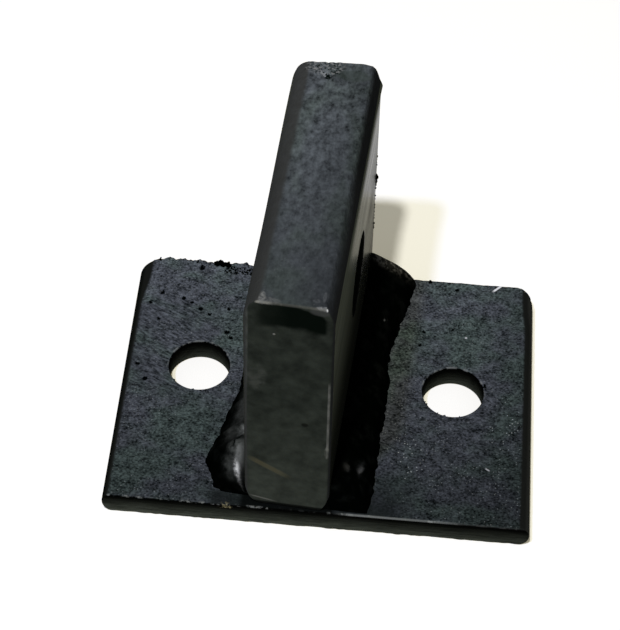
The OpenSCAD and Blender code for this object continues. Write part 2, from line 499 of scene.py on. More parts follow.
def flat_bar(name, loop, levels, holes, place, extra=()):
    """A cut length of flat bar: a stack of loops, two nets and the drilled holes.

    levels are rows of depth and the two shares that the loop has there, holes are centre, radius and
    eased rim, and place turns loop and depth into points of the object."""
    patches = [walls([at_depth(loop * (u, v), depth) for depth, u, v in levels])]
    rims = [(c, r + rim, circle(c, r + rim, round(math.tau * r / LOOP_STEP))) for c, r, rim in holes]
    for (depth, u, v), spacing, points in ((levels[0], NET * 2, ()), (levels[-1], NET, extra)):
        flat, faces = net(loop * (u, v), rims, spacing, points)
        patches.append((at_depth(flat, depth), faces))
    for hole in holes:
        patches.append(bore(*hole, levels[0][0], levels[-1][0]))
    return joined(name, [(place(points), faces) for points, faces in patches])


print("holes are stepped at", BORE_STEP, "mm")

# %% [markdown]
# ## The base plate
# The plate is cut from thin flat bar. Its left and right sides are the bar's own rolled edges, half round,
# and its front and back were sheared. The back corners were knocked round, the left one more. Small pits
# are pressed into the top later, so the net gets extra points there to give each pit a shape.

# %% Plate shape
FRONT_CORNER = 0.35
PLATE_EASE = 0.2
PLATE_LEVELS = 25
HOLE_RIM = 0.12
# Pits in the plate's top: across, along, radius, depth
PITS = (
    (-35.0, 21.0, 0.62, 0.40), (-30.6, 19.9, 0.55, 0.35), (-28.8, 19.0, 0.45, 0.30),
    (-26.8, 17.6, 0.62, 0.40), (-24.9, 16.3, 0.50, 0.35), (-21.2, 18.0, 0.45, 0.25),
    (-36.8, 18.2, 0.45, 0.25), (-34.9, 14.2, 0.50, 0.30), (-27.9, 28.2, 0.65, 0.40),
    (-21.0, 12.0, 0.65, 0.40), (-20.0, 10.6, 0.45, 0.30), (-37.3, 2.4, 0.50, 0.30),
    (-35.6, -1.2, 0.60, 0.40), (24.1, 27.7, 0.50, 0.30), (18.1, 16.1, 0.50, 0.30),
    (17.5, 12.7, 0.45, 0.30),
)


def fixing_holes():
    """Centres and radius of the two fixing holes, from the mount and the CAD solid."""
    radius = mounts["fixing_holes"]["dims"]["hole_r_mm"]
    middle = np.array(mounts["fixing_holes"]["pos_m"][:2]) / MM
    inner = plate_top_points[abs(plate_top_points[:, 0]) < plate_half[0] - edge_bulge - 1]
    inner = inner[abs(inner[:, 1]) < plate_half[1] - 1][:, :2]
    left = inner[inner[:, 0] < middle[0]]
    right = inner[inner[:, 0] > middle[0]]
    return [(side.max(0) + side.min(0)) / 2 for side in (left, right)], radius


def corner_radius(side):
    """Radius of one of the plate's back corners, from where its side stops."""
    at_side = plate_points[side * plate_points[:, 0] > plate_half[0] - TOUCH]
    return plate_half[1] - at_side[:, 1].max()


def plate_levels():
    """Depth and the loop's shares, round at the sides and just eased at the cut ends."""
    rows = []
    for turn in np.radians(np.linspace(-90, 90, PLATE_LEVELS)):
        depth = plate_t / 2 * (1 + math.sin(turn))
        half_u = plate_half[0] - edge_bulge * (1 - math.cos(turn))
        past = max(0, abs(depth - plate_t / 2) - plate_t / 2 + PLATE_EASE)
        half_v = plate_half[1] - PLATE_EASE + math.sqrt(max(0, PLATE_EASE**2 - past**2))
        rows.append((depth, half_u / plate_half[0], half_v / plate_half[1]))
    return rows


def rings_round(spots):
    """Extra points for the net: three rings and a centre at each pit."""
    rings = [circle(s[:2], s[2] * share, 10) for s in spots for share in (0.35, 0.75, 1.15)]
    return [tuple(p) for ring in rings for p in ring] + [s[:2] for s in spots]


hole_centres, hole_r = fixing_holes()
corner_right_back = corner_radius(1)
plate = flat_bar(
    "plate_body",
    rounded_loop(*plate_half, (FRONT_CORNER, FRONT_CORNER, corner_right_back, corner_radius(-1))),
    plate_levels(),
    [(centre, hole_r, HOLE_RIM) for centre in hole_centres],
    lambda points: points,
    rings_round(PITS),
)

# %% [markdown]
# ## Wear on the plate
# Shears leave the front edge hollow, with a rough lower part, and the back edge torn, with a ragged lip at
# the left. Sculpting could make that too, but not twice alike. Here each mark is a short formula that moves
# the corners of the mesh, with smooth noise of a fixed seed for what is ragged. The paint has to know the
# cut faces and the pits later on, so both are kept on the mesh as numbers for each corner.

# %% Corners, marks and noise
def reshape(piece, points):
    piece.data.vertices.foreach_set("co", (points * MM).astype(np.float32).ravel())
    piece.data.update()


def mark(piece, name, values):
    """Keeps a number for each corner, which a material can read by name."""
    layer = piece.data.attributes.new(name, "FLOAT", "POINT")
    layer.data.foreach_set("value", np.asarray(values, np.float32))


def smooth(values, low, high):
    """A soft step from 0 at low to 1 at high."""
    share = np.clip((values - low) / (high - low), 0, 1)
    return share * share * (3 - 2 * share)


def hump(values, width):
    """1 at zero, falling off softly to both sides."""
    return np.exp(-((values / width) ** 2))


def waves(points, size, seed):
    """Smooth noise between about -1 and 1, with lumps of about that size."""
    shift = Vector((seed * 17.3, seed * 5.1, seed * 9.7))
    return np.array([noise.noise(Vector(p) / size + shift) for p in points])


print("noise in the middle of the plate:", waves([(0, 0, 0)], 1, 1))

# %% Plate wear and marks
# The sheared front is hollow: the depth of the hollow and the height where it is deepest
FRONT_HOLLOW = 0.4
HOLLOW_HEIGHT = 3.0
BACK_OUT = 0.15
TEAR_FINE = 0.12
TEAR_BROAD = 0.1
# The lip along the back: where it starts and ends, its width and its reach to the back and up
LIP_START = (-39, -37)
LIP_END = (-16, -13)
LIP_WIDTH = 0.6
LIP_REACH = (0.65, 0.975)
TOP_WAVE = 0.05
# The rolled sides are not quite square to the front: how far each leans out, and the change for each mm
LEAN_LEFT = (-0.26, -0.005)
LEAN_RIGHT = (0.1, -0.02)
# The knocked back right corner: angle round it, width of the push and how far out it goes
CORNER_PUSH = ((88, 16, 0.55), (60, 14, 0.22), (12, 14, -0.3))
# How ragged a pit's rim is, how steep its bowl, and how far its painted shade reaches
PIT_RAGGED = 0.35
PIT_BOWL = 1.5
PIT_SHADE_REACH = 1.25
# A shallow groove in the top: its two ends, half width, depth, and how ragged it is and how dark its painted
# shade is
GROOVE = ((21.7, 15.8), (25.3, 18.5), 0.55, 0.22)
GROOVE_RAGGED = 0.4
GROOVE_SHADE = 0.5


def from_line(x, y, start, end):
    """Distance from a straight stretch between two places."""
    run = np.subtract(end, start)
    share = np.clip(((x - start[0]) * run[0] + (y - start[1]) * run[1]) / (run @ run), 0, 1)
    return np.hypot(x - start[0] - share * run[0], y - start[1] - share * run[1])


def press_pits(points, x, y, top):
    """Presses the pits and the groove into the top; gives how far inside one each corner lies."""
    pitted = np.zeros(len(points))
    ragged = waves(points, 0.5, 2) * PIT_RAGGED
    for across, along, radius, depth in PITS:
        away = np.hypot(x - across, y - along) / radius + ragged
        points[:, 2] -= (1 - np.clip(away, 0, 1) ** PIT_BOWL) * depth * top
        pitted = np.maximum(pitted, np.clip(PIT_SHADE_REACH - away, 0, 1) * top)
    start, end, width, depth = GROOVE
    away = from_line(x, y, start, end) / width + waves(points, 0.7, 8) * GROOVE_RAGGED
    inside = np.clip(1 - away, 0, 1) * top
    points[:, 2] -= inside * depth
    return np.maximum(pitted, inside * GROOVE_SHADE)


def tear_ends(points, z, front, back):
    """Hollows the sheared front, roughens its lower part and lets the torn back stand out."""
    low = 1 - smooth(z, HOLLOW_HEIGHT - 1, HOLLOW_HEIGHT)
    hollow = np.interp(z, (0, HOLLOW_HEIGHT, plate_t - 0.1), (0, FRONT_HOLLOW, 0))
    torn = waves(points * (1, 1, 2), 1.1, 3) * TEAR_FINE + waves(points, 4, 4) * TEAR_BROAD
    points[:, 1] += front * (hollow - torn * low) + back * (BACK_OUT + torn)


def raise_lip(points, x, y, z):
    """Draws out a ragged lip along the left part of the back top edge."""
    from_edge = np.hypot(np.clip(plate_half[1] - y, 0, None), plate_t - z)
    lip = hump(from_edge, LIP_WIDTH) * smooth(x, *LIP_START) * (1 - smooth(x, *LIP_END))
    ragged = np.clip(0.35 + 0.55 * waves(points, 1.5, 6) + 0.35 * waves(points, 0.6, 7), 0, 0.9)
    points[:, 1:] += (lip * ragged)[:, None] * LIP_REACH


def knock_corner(points, x, y):
    """Makes the round of the back right corner fuller at the back and flatter at the side."""
    from_x, from_y = x - plate_half[0] + corner_right_back, y - plate_half[1] + corner_right_back
    angle = np.degrees(np.arctan2(from_y, from_x))
    push = sum(amount * hump(angle - at, width) for at, width, amount in CORNER_PUSH)
    push *= np.clip(np.hypot(from_x, from_y) / corner_right_back, 0, 1) ** 4
    push *= smooth(from_x, -1.8, -0.8) * smooth(from_y, -0.5, 0.3)
    points[:, 0] += push * np.cos(np.radians(angle))
    points[:, 1] += np.minimum(push * np.sin(np.radians(angle)), np.maximum(plate_half[1] - y, 0))


def wear_plate(piece):
    points = corners_of(piece)
    x, y, z = points.T.copy()
    top = smooth(z, plate_t - 0.2, plate_t - 0.02)
    front, back = [smooth(side * y, plate_half[1] - PLATE_EASE, plate_half[1] - 0.05) for side in (-1, 1)]
    pitted = press_pits(points, x, y, top)
    tear_ends(points, z, front, back)
    raise_lip(points, x, y, z)
    points[:, 2] += waves(points, 9, 5) * TOP_WAVE * top
    knock_corner(points, x, y)
    for sign, (lean, per_mm) in ((-1, LEAN_LEFT), (1, LEAN_RIGHT)):
        points[:, 0] += smooth(sign * x, 34, 38) * (lean + per_mm * y)
    reshape(piece, points)
    cut = np.maximum(front, back)
    for centre in hole_centres:
        from_hole = np.hypot(x - centre[0], y - centre[1]) - hole_r
        cut = np.maximum(cut, smooth(-from_hole, -HOLE_RIM, -HOLE_RIM / 2))
    mark(piece, "cut", cut)
    mark(piece, "pit", pitted)
    print("corners in a pit:", int((pitted > 0).sum()), "and on a cut face:", int((cut > 0.5).sum()))


wear_plate(plate)

# %% [markdown]
# ## The lock bar
# The upright is a thicker flat bar, cut to a length as long as it is high and stood on edge, so its rolled
# corners run along the top and the foot. It is the same stack of loops, only built from its left side to
# its right, with the padlock hole through it.

# %% Bar shape
BAR_CORNER = 0.4
# The rolled corners: 2 for an ellipse and 1 for a straight bevel, and how many levels each has
CORNER_LEFT_POWER, CORNER_LEFT_LEVELS = 1.7, 14
CORNER_RIGHT_POWER, CORNER_RIGHT_LEVELS = 1.2, 12
FLAT_LEVELS = 26
# Bevels on the upright edges of the ends: width across and depth
EDGE_LEFT = (0.9, 0.55)
EDGE_RIGHT = (0.75, 0.5)
LOCK_RIM = 0.35


def rolled(width, drop, power, count):
    """A rounded corner as distances in from the side, and the drops that are left there."""
    turn = np.linspace(0, math.pi / 2, count + 1)
    inwards = width * (1 - np.cos(turn) ** (2 / power))
    return inwards, drop * (1 - np.sin(turn) ** (2 / power))


def bar_levels():
    half_h = bar_h / 2
    left_in, left_drop = rolled(corner_left, corner_h, CORNER_LEFT_POWER, CORNER_LEFT_LEVELS)
    right_in, right_drop = rolled(corner_right, corner_h, CORNER_RIGHT_POWER, CORNER_RIGHT_LEVELS)
    flat_from, flat_to = -bar_half[0] + corner_left, bar_half[0] - corner_right
    flat = np.linspace(flat_from, flat_to, FLAT_LEVELS)[1:-1]
    across = np.concatenate((left_in - bar_half[0], flat, (bar_half[0] - right_in)[::-1]))
    drop = np.concatenate((left_drop, np.zeros(len(flat)), right_drop[::-1]))
    ease = np.zeros(len(across))
    for (width, depth), inside in ((EDGE_LEFT, across + bar_half[0]), (EDGE_RIGHT, bar_half[0] - across)):
        ease = np.maximum(ease, depth * np.clip(1 - inside / width, 0, 1))
    return list(zip(across, (bar_half[1] - ease) / bar_half[1], (half_h - drop) / half_h))


def place_bar(points):
    """Loop along and up, depth across: turned into the bar's frame and out onto the plate."""
    return out_of_bar(np.column_stack((points[:, 2], points[:, 0], points[:, 1] + bar_h / 2)))


bar = flat_bar(
    "bar_body",
    rounded_loop(bar_half[1], bar_h / 2, (BAR_CORNER,) * 4),
    bar_levels(),
    [((lock_hole[1], lock_hole[2] - bar_h / 2), lock_hole_r, LOCK_RIM)],
    place_bar,
)

# %% [markdown]
# ## Wear on the bar
# The bar's back end was cut a few degrees off square and left a little torn, its front top edge is uneven,
# and a rough patch of scale sits at the back of its top. They are formulas on the corners again, this time
# in the bar's own frame, where along and across mean the same all over the bar.

# %% Bar wear and marks
# The rough patch: its middle, its radii and how high it stands
SCALE_SPOT = (-2.2, 28.0)
SCALE_RADII = (3.6, 2.4)
SCALE_HEIGHT = 0.4
# A hollow in the rough patch: across, along, radius, depth
SCALE_HOLLOW = (-1.5, 25.4, 0.8, 0.5)
LIP_WAVE = 0.2
BAR_TOP_WAVE = 0.05
BACK_TEAR = 0.12
BACK_RIGHT_IN = 0.5
BACK_BULGE = 0.3
LEFT_LEAN = 0.45


def wear_bar(piece):
    points = into_bar(corners_of(piece))
    x, y, z = points.T.copy()
    end = smooth(abs(y), bar_half[1] - 0.45, bar_half[1] - 0.05)
    top = smooth(z, bar_h - 1.5, bar_h - 0.1)
    at_back = smooth(y, bar_half[1] - 8, bar_half[1])
    front_lip = np.exp(-np.hypot(y + bar_half[1], z - bar_h) / 1.2)
    lip_waves = waves(points * (1, 0.2, 0.2), 4.5, 11)
    spot = hump(x - SCALE_SPOT[0], SCALE_RADII[0]) * hump(y - SCALE_SPOT[1], SCALE_RADII[1]) * top
    rough = waves(points, 0.9, 12) + 0.7 * waves(points, 0.45, 13)
    from_hollow = np.hypot(x - SCALE_HOLLOW[0], y - SCALE_HOLLOW[1]) / SCALE_HOLLOW[2]
    hollow = np.clip(1 - from_hollow, 0, 1) * top
    points[:, 2] += front_lip * lip_waves * LIP_WAVE + spot * rough * SCALE_HEIGHT - hollow * SCALE_HOLLOW[3]
    points[:, 2] += waves(points, 7, 14) * BAR_TOP_WAVE * top
    points[:, 1] += at_back * (bar_cut * x - BACK_RIGHT_IN * smooth(x, 4.2, 7.2) * top)
    points[:, 1] += end * at_back * (waves(points, 1.6, 15) + waves(points, 5, 16)) * BACK_TEAR
    points[:, 0] += hump(z - bar_h + corner_h, 1.5) * at_back * smooth(x, 7.5, 8) * BACK_BULGE
    points[:, 0] -= LEFT_LEAN * smooth(y, -14, 27) * smooth(-x, 4, 7.5) * smooth(z, 25, 50)
    reshape(piece, out_of_bar(points))
    from_hole = np.hypot(y - lock_hole[1], z - lock_hole[2]) - lock_hole_r
    mark(piece, "cut", end)
    mark(piece, "bore", smooth(-from_hole, -LOCK_RIM, -LOCK_RIM / 2))
    mark(piece, "pit", spot)
    print("corners in the rough patch:", int((spot > 0.5).sum()))


wear_bar(bar)

# %% [markdown]
# ## The welds
# A hand-laid fillet weld is a lumpy rope of metal in the corner between bar and plate. Its toe on the plate
# and its height on the bar are read from the CAD solid, so the weld lies where the frame has it. A closed
# skin is lofted between them, fuller than a straight bevel, with a ragged toe and a few broad lumps. A bent
# tube would be quicker, but the two legs of a weld differ and change along it.

# %% Weld skins
WELD_STEP = 0.3
WELD_ACROSS = 34
WELD_SINK = 0.25
WELD_ROUND = 0.25
WELD_CLEAR = 0.5
WELD_RAGGED = 0.4
WELD_BEHIND = 3
ROUND_STEPS = np.array((0.35, 0.65, 0.85, 0.97))


def weld_edges(node, side):
    """Rows of place along the bar, reach of the toe and height on the bar, from the CAD solid."""
    points = into_bar(corners_of(frame["nodes"][node]))
    rows = []
    for along in np.unique(points[:, 1].round(1)):
        near = points[abs(points[:, 1] - along) < 0.7]
        low = near[near[:, 2] < 0.05]
        high = near[abs(near[:, 0]) < bar_half[0] + 0.05]
        if len(low) and len(high):
            rows.append((along, (side * low[:, 0]).max() - bar_half[0], high[:, 2].max()))
    rows = np.array(rows)
    return rows[rows[:, 0] > WELD_ROUND - bar_half[1] + WELD_CLEAR].T


def weld_ring(place, reach, tall, power, lumps):
    """One ring of a weld on the right side: its open face, then two corners inside the bar."""
    turn = np.linspace(0, math.pi / 2, WELD_ACROSS + 1)
    swell = np.ones(len(turn))
    for lump_at, lump_across, length, width, amount in lumps:
        near = ((place - lump_at) / length) ** 2 + ((turn / turn[-1] - lump_across) / width) ** 2
        swell += amount * np.exp(-near)
    out = reach * np.cos(turn) ** (2 / power) * swell
    up = tall * np.sin(turn) ** (2 / power) * swell
    face = np.column_stack((bar_half[0] + out, np.full(len(turn), place), up))
    face[0, 2] = -WELD_SINK
    face[-1, 0] = bar_half[0] - WELD_SINK
    inside = bar_half[0] - WELD_BEHIND
    return np.concatenate((face, [(inside, place, tall), (inside, place, -WELD_SINK)]))


def weld_skin(name, node, side, full, lumps):
    """A closed skin along one weld, with marks for its run, how far across it is and its open face."""
    along, foot, height = weld_edges(node, side)
    inner = np.linspace(along[0], along[-1], math.ceil((along[-1] - along[0]) / WELD_STEP) + 1)
    rounds = WELD_ROUND * ROUND_STEPS
    run = np.concatenate((along[0] - rounds[::-1], inner, along[-1] + rounds))
    rings = []
    for place in run:
        over = max(along[0] - place, place - along[-1], 0) / WELD_ROUND
        shrink = math.sqrt(1 - over**2)
        ragged = waves([(place, side * 40, 0)], 1.3, 21)[0] + 0.5 * waves([(place, 0, 9)], 0.6, 22)[0]
        reach = (np.interp(place, along, foot) + WELD_RAGGED * ragged) * shrink
        tall = np.interp(place, along, height) * shrink
        rings.append(weld_ring(place, reach, tall, np.interp(place, *full), lumps) * (side, 1, 1))
    corners, quads = walls(rings)
    first_cap = np.arange(len(rings[0]))
    caps = [list(first_cap), list(first_cap + len(corners) - len(first_cap))]
    piece = joined(name, [(out_of_bar(corners), quads + caps)])
    points = into_bar(corners_of(piece))
    across = np.clip(np.arctan2(points[:, 2], side * points[:, 0] - bar_half[0]) / (math.pi / 2), 0, 1)
    ends = smooth(np.minimum(points[:, 1] - run[0], run[-1] - points[:, 1]), 0, 1.2)
    mark(piece, "along", points[:, 1] * MM)
    mark(piece, "across", across)
    mark(piece, "face", np.sin(across * math.pi) ** 0.5 * (0.25 + 0.75 * ends))
    return piece


# How full each weld is: places along it, and there 1 for a straight bevel and 2 for a quarter round
LEFT_FULL = ((-30, 30), (1.55, 1.55))
RIGHT_FULL = ((18, 27), (1.55, 1.5))
# Lumps of each weld: place along, place across, length, width, amount
LEFT_LUMPS = (
    (-22.4, 0.85, 2.6, 0.40, 0.22), (-28.2, 0.85, 2.2, 0.5, -0.3), (-17.2, 0.6, 1.7, 0.5, 0.08),
    (-19.8, 0.6, 1.3, 0.5, -0.07), (-12.0, 0.5, 3.0, 0.4, 0.06),
)
RIGHT_LUMPS = (
    (28.5, 0.4, 2.5, 0.4, 0.07), (28.5, 1.0, 2.5, 0.2, 0.1), (-21, 0.55, 2.0, 0.35, 0.12),
    (10, 0.5, 4, 0.4, 0.05),
)
weld_left = weld_skin("weld_bead_left", "weld_left", -1, LEFT_FULL, LEFT_LUMPS)
weld_right = weld_skin("weld_bead_right", "weld_right", 1, RIGHT_FULL, RIGHT_LUMPS)

# %% [markdown]
# ## Ripples on the welds
# A weld is laid drop by drop, so faint ripples cross it, over smaller lumps and a fine grit. Bump in the
# paint would leave the outline smooth. Ripples follow the run of the weld, so Geometry Nodes push them out
# of the skin: one tree serves both welds, with named inputs for its sizes and a seed for each weld.

# %% Geometry Nodes: weld ripples
def geometry_tree(name, inputs):
    """An empty geometry tree with named inputs; gives the tree and its inputs as fields."""
    tree = bpy.data.node_groups.new(name, "GeometryNodeTree")
    for label, kind in [("Geometry", "Geometry"), *inputs]:
        tree.interface.new_socket(label, in_out="INPUT", socket_type=f"NodeSocket{kind}")
    tree.interface.new_socket("Geometry", in_out="OUTPUT", socket_type="NodeSocketGeometry")
    return tree, fields(add(tree, "NodeGroupInput"))


def stored(tree, name):
    """A number that the mesh carries for each corner."""
    inputs = {"Name": name}
    return field(tree, "GeometryNodeInputNamedAttribute", inputs, "Attribute", data_type="FLOAT")


def pushed(tree, geometry, push):
    """Geometry with each corner moved out along its normal."""
    offset = scaled(field(tree, "GeometryNodeInputNormal"), push)
    return field(tree, "GeometryNodeSetPosition", {"Geometry": geometry, "Offset": offset})


def end_tree(tree, geometry, paint):
    """Ends a tree with plain painted meshes, because the export drops instances."""
    plain = field(tree, "GeometryNodeRealizeInstances", {"Geometry": geometry})
    painted = field(tree, "GeometryNodeSetMaterial", {"Geometry": plain, "Material": paint})
    add(tree, "NodeGroupOutput", {"Geometry": painted})


def ripple_tree():
    sizes = [(n, "Float") for n in ("Pitch", "Ripple", "Trail", "Lump Size", "Lump", "Grit Size", "Grit")]
    tree, given = geometry_tree("weld_ripples", [*sizes, ("Seed", "Float"), ("Paint", "Material")])
    lag = maths("SINE", stored(tree, "across") * math.pi)
    place = lag * given["Trail"] + stored(tree, "along")
    push = maths("SINE", place / given["Pitch"] * math.tau) * given["Ripple"]
    where = field(tree, "GeometryNodeInputPosition")
    for size, height, detail in (("Lump Size", "Lump", 1.0), ("Grit Size", "Grit", 3.0)):
        inputs = {"Vector": where, "W": given["Seed"], "Scale": 1.0 / given[size], "Detail": detail}
        lumps = field(tree, "ShaderNodeTexNoise", inputs, noise_dimensions="4D")
        push = (lumps - 0.5) * given[height] + push
    end_tree(tree, pushed(tree, given["Geometry"], push * stored(tree, "face")), given["Paint"])
    return tree


def grow(piece, tree, values):
    """Runs a geometry tree on a piece and keeps the result as a plain mesh."""
    modifier = piece.modifiers.new(tree.name, "NODES")
    modifier.node_group = tree
    for item in tree.interface.items_tree:
        if item.in_out == "INPUT" and item.name in values:
            modifier[item.identifier] = values[item.name]
    graph = bpy.context.evaluated_depsgraph_get()
    made = piece.evaluated_get(graph)
    mesh = bpy.data.meshes.new_from_object(made, preserve_all_data_layers=True, depsgraph=graph)
    piece.modifiers.remove(modifier)
    piece.data = mesh
    mesh.name = piece.name
    print(piece.name, "after", tree.name, "has", len(mesh.polygons), "faces")


weld_ripples = ripple_tree()
print("weld_ripples has", len(weld_ripples.nodes), "nodes")

# %% [markdown]
# ## Paint: what all surfaces share
# All of it is one brushed coat of black, but it looks different on each surface. On rolled faces it lies over
# rough scale and shows a fine grey speckle, and along edges it shows pale broken lines, partly worn paint and
# partly painted highlights. Both are used by more than one paint, so each is a node group with named inputs,
# built once.

# %% Node groups for paint
def shader_group(name, inputs, results):
    """An empty shader group with named sockets; gives the group and its inputs as fields."""
    group = bpy.data.node_groups.new(name, "ShaderNodeTree")
    for in_out, sockets in (("INPUT", inputs), ("OUTPUT", results)):
        for label, kind in sockets:
            group.interface.new_socket(label, in_out=in_out, socket_type=f"NodeSocket{kind}")
    return group, fields(add(group, "NodeGroupInput"))


def cloud(where, scale, detail=2.0, rough=0.5):
    """Noise from 0 to 1 with about that many lumps in a millimetre."""
    inputs = {"Vector": where, "Scale": scale, "Detail": detail, "Roughness": rough}
    return field(where.tree, "ShaderNodeTexNoise", inputs)


def distance(first, second):
    return maths("SQRT", first * first + second * second)


def speckle_group():
    """Grey speckle of paint over mill scale, with clusters of bright glints."""
    group, given = shader_group(
        "paint_speckle",
        [("Place", "Vector"), ("Fineness", "Float"), ("Blotch", "Float")],
        [("Speckle", "Float"), ("Patch", "Float"), ("Glint", "Float"), ("Height", "Float")],
    )
    place = given["Place"]
    height = cloud(place, given["Fineness"], 3.0, 0.6) * 0.7 + cloud(place, given["Blotch"]) * 0.3
    dots = fields(add(group, "ShaderNodeTexVoronoi", {"Vector": place, "Scale": 1.9}))
    lot = field(group, "ShaderNodeSeparateColor", {0: dots["Color"]})
    crowd = spread(cloud(place, 0.13, 1.0), 0.35, 0.65, 1.0, 0.62)
    results = {
        "Speckle": spread(height, 0.34, 0.66, 0, 1),
        "Patch": rise(cloud(place, 0.11), 0.36, 0.62),
        "Glint": maths("GREATER_THAN", lot, crowd) * rise(dots["Distance"], 0.34, 0.12),
        "Height": height,
    }
    add(group, "NodeGroupOutput", results)
    return group


def edge_group():
    """A thin line in broken stretches along a straight edge, seen end on at two places: worn paint and a
    painted highlight where the edge catches the light.
    """
    sizes = [(label, "Float") for label in ("First", "Second", "Width", "Whole")]
    group, given = shader_group("edge_wear", [("Place", "Vector"), *sizes], [("Worn", "Float")])
    line = rise(distance(given["First"], given["Second"]) / given["Width"], 1.0, 0.3)
    broken = rise(cloud(given["Place"], 0.9, 3.0), 0.46, 0.62)
    add(group, "NodeGroupOutput", {"Worn": line * largest(broken, given["Whole"])})
    return group


paint_speckle = speckle_group()
edge_wear = edge_group()
print("paint groups:", paint_speckle.name, edge_wear.name)

# %% [markdown]
# ## Marks on paint
# Chips, scratches, rubbed places, painted shade and painted highlights each lie somewhere on a face. An image
# texture could hold them, but then they would stop at its pixels. A soft oval and a thin stroke, both worked
# out from the place on the surface, are enough for all of them here, and each paint then lists its own.

# %% Ovals, strokes and mixes
PAINT_SPECULAR = 0.0


def new_paint(name, turn=0.0, shift=(0, 0, 0)):
    """A material with its places in millimetres: the material, its shader and the place as a field."""
    material = bpy.data.materials.new(name)
    material.use_nodes = True
    tree = material.node_tree
    shader = tree.nodes["Principled BSDF"]
    feed(shader, {"Specular IOR Level": PAINT_SPECULAR})
    where = field(tree, "ShaderNodeTexCoord", output="Object")
    inputs = {"Vector": where, "Location": shift, "Rotation": (0, 0, turn), "Scale": (1 / MM,) * 3}
    return material, shader, field(tree, "ShaderNodeMapping", inputs)


def axes(place):
    return [Field(socket) for socket in add(place.tree, "ShaderNodeSeparateXYZ", {0: place}).outputs]


def mapped(place, stretch, turn=0.0, kind="POINT"):
    """The place stretched, and turned first where the kind is TEXTURE."""
    inputs = {"Vector": place, "Rotation": (0, 0, turn), "Scale": stretch}
    return field(place.tree, "ShaderNodeMapping", inputs, vector_type=kind)


def marked(place, name):
    """A number that the mesh carries, for a material."""
    return field(place.tree, "ShaderNodeAttribute", output="Fac", attribute_name=name)


def tint(share, first, second):
    """A mix of two colours."""
    return field(share.tree, "ShaderNodeMix", {0: share, 6: first, 7: second}, 2, data_type="RGBA")


def between(share, first, second):
    """A mix of two values."""
    return field(share.tree, "ShaderNodeMix", {0: share, 2: first, 3: second})


def bump(height, depth):
    inputs = {"Strength": 1.0, "Distance": depth * MM, "Height": height}
    return field(height.tree, "ShaderNodeBump", inputs)


def spot(first, second, middle, radii):
    """1 in the middle of a soft oval on a surface and 0 outside it."""
    across, along = (first - middle[0]) / radii[0], (second - middle[1]) / radii[1]
    return rise(across * across + along * along, 1.0, 0.3)


def stroke(first, second, start, end, width):
    """1 on a straight scratch between two places on a surface and 0 off it."""
    length = math.dist(start, end)
    run, rest = (end[0] - start[0]) / length, (end[1] - start[1]) / length
    from_first, from_second = first - start[0], second - start[1]
    along = from_first * run + from_second * rest
    beside = from_second * run - from_first * rest
    thin = rise(abs(beside), width / 2, width / 5)
    return thin * rise(along, 0.0, 0.25 * length) * rise(along, length, 0.6 * length)


def worn_and_highlight_line(place, first, second, width, whole):
    """Worn paint and painted highlight along an edge: distances from it in two directions, its width and how
    whole it is.
    """
    inputs = {"Place": place, "First": first, "Second": second, "Width": width, "Whole": whole}
    return field(place.tree, "ShaderNodeGroup", inputs, "Worn", node_tree=edge_wear)


def speckled(place, fineness, blotch):
    inputs = {"Place": place, "Fineness": fineness, "Blotch": blotch}
    return fields(add(place.tree, "ShaderNodeGroup", inputs, node_tree=paint_speckle))


print("marks are made by", spot.__name__, stroke.__name__, "and", worn_and_highlight_line.__name__)

# %% [markdown]
# ## Paint on the plate's top
# The top is a cold grey speckle, here greenish and there violet, with slanting brush marks at the left. It is
# painted paler to the back as a painted sheen. Bright glints lie in two clusters, and close to the bar lies a
# flat dark painted shade, with a painted contact shadow as a black line under the bar's front. One Noise
# texture could not hold all that, so the layers are mixed one over the other, each with a mask of its own.

# %% Plate: top
# Grain of the top: its stretch, and its grains and blotches in a millimetre
PLATE_STRETCH = (0.98, 1.27, 1)
PLATE_FINENESS, PLATE_BLOTCH = 2.3, 0.4
SPECKLE_POWER = 1.25
# Brush marks: their slant and stretch, the middle and radii of the place that has them, and their share
BRUSH_TURN = -0.5
BRUSH_STRETCH = (1.7, 0.5, 1)
BRUSH_PLACE = ((-32, 8), (11, 16))
BRUSH_SHARE = 0.45
VIOLET_PLACE = ((-31, 21.5), (8, 5))
GLINT_PLACES = (((35, -5.6), (3.5, 7)), ((16.5, -15.3), (4.5, 6)))
PORE_BLACK = colour(0.002, 0.003, 0.003)
GREEN_GREY = colour(0.120, 0.156, 0.144)
VIOLET_GREY = colour(0.131, 0.142, 0.162)
GLINT_GREY = colour(0.32, 0.34, 0.33)
# Painted shade beside and before the bar, and the painted contact shadow under the bar's front
SHADE_BY_BAR_BLACK = colour(0.0088, 0.0108, 0.0104)
CONTACT_SHADOW_BLACK = colour(0.002, 0.0025, 0.0022)


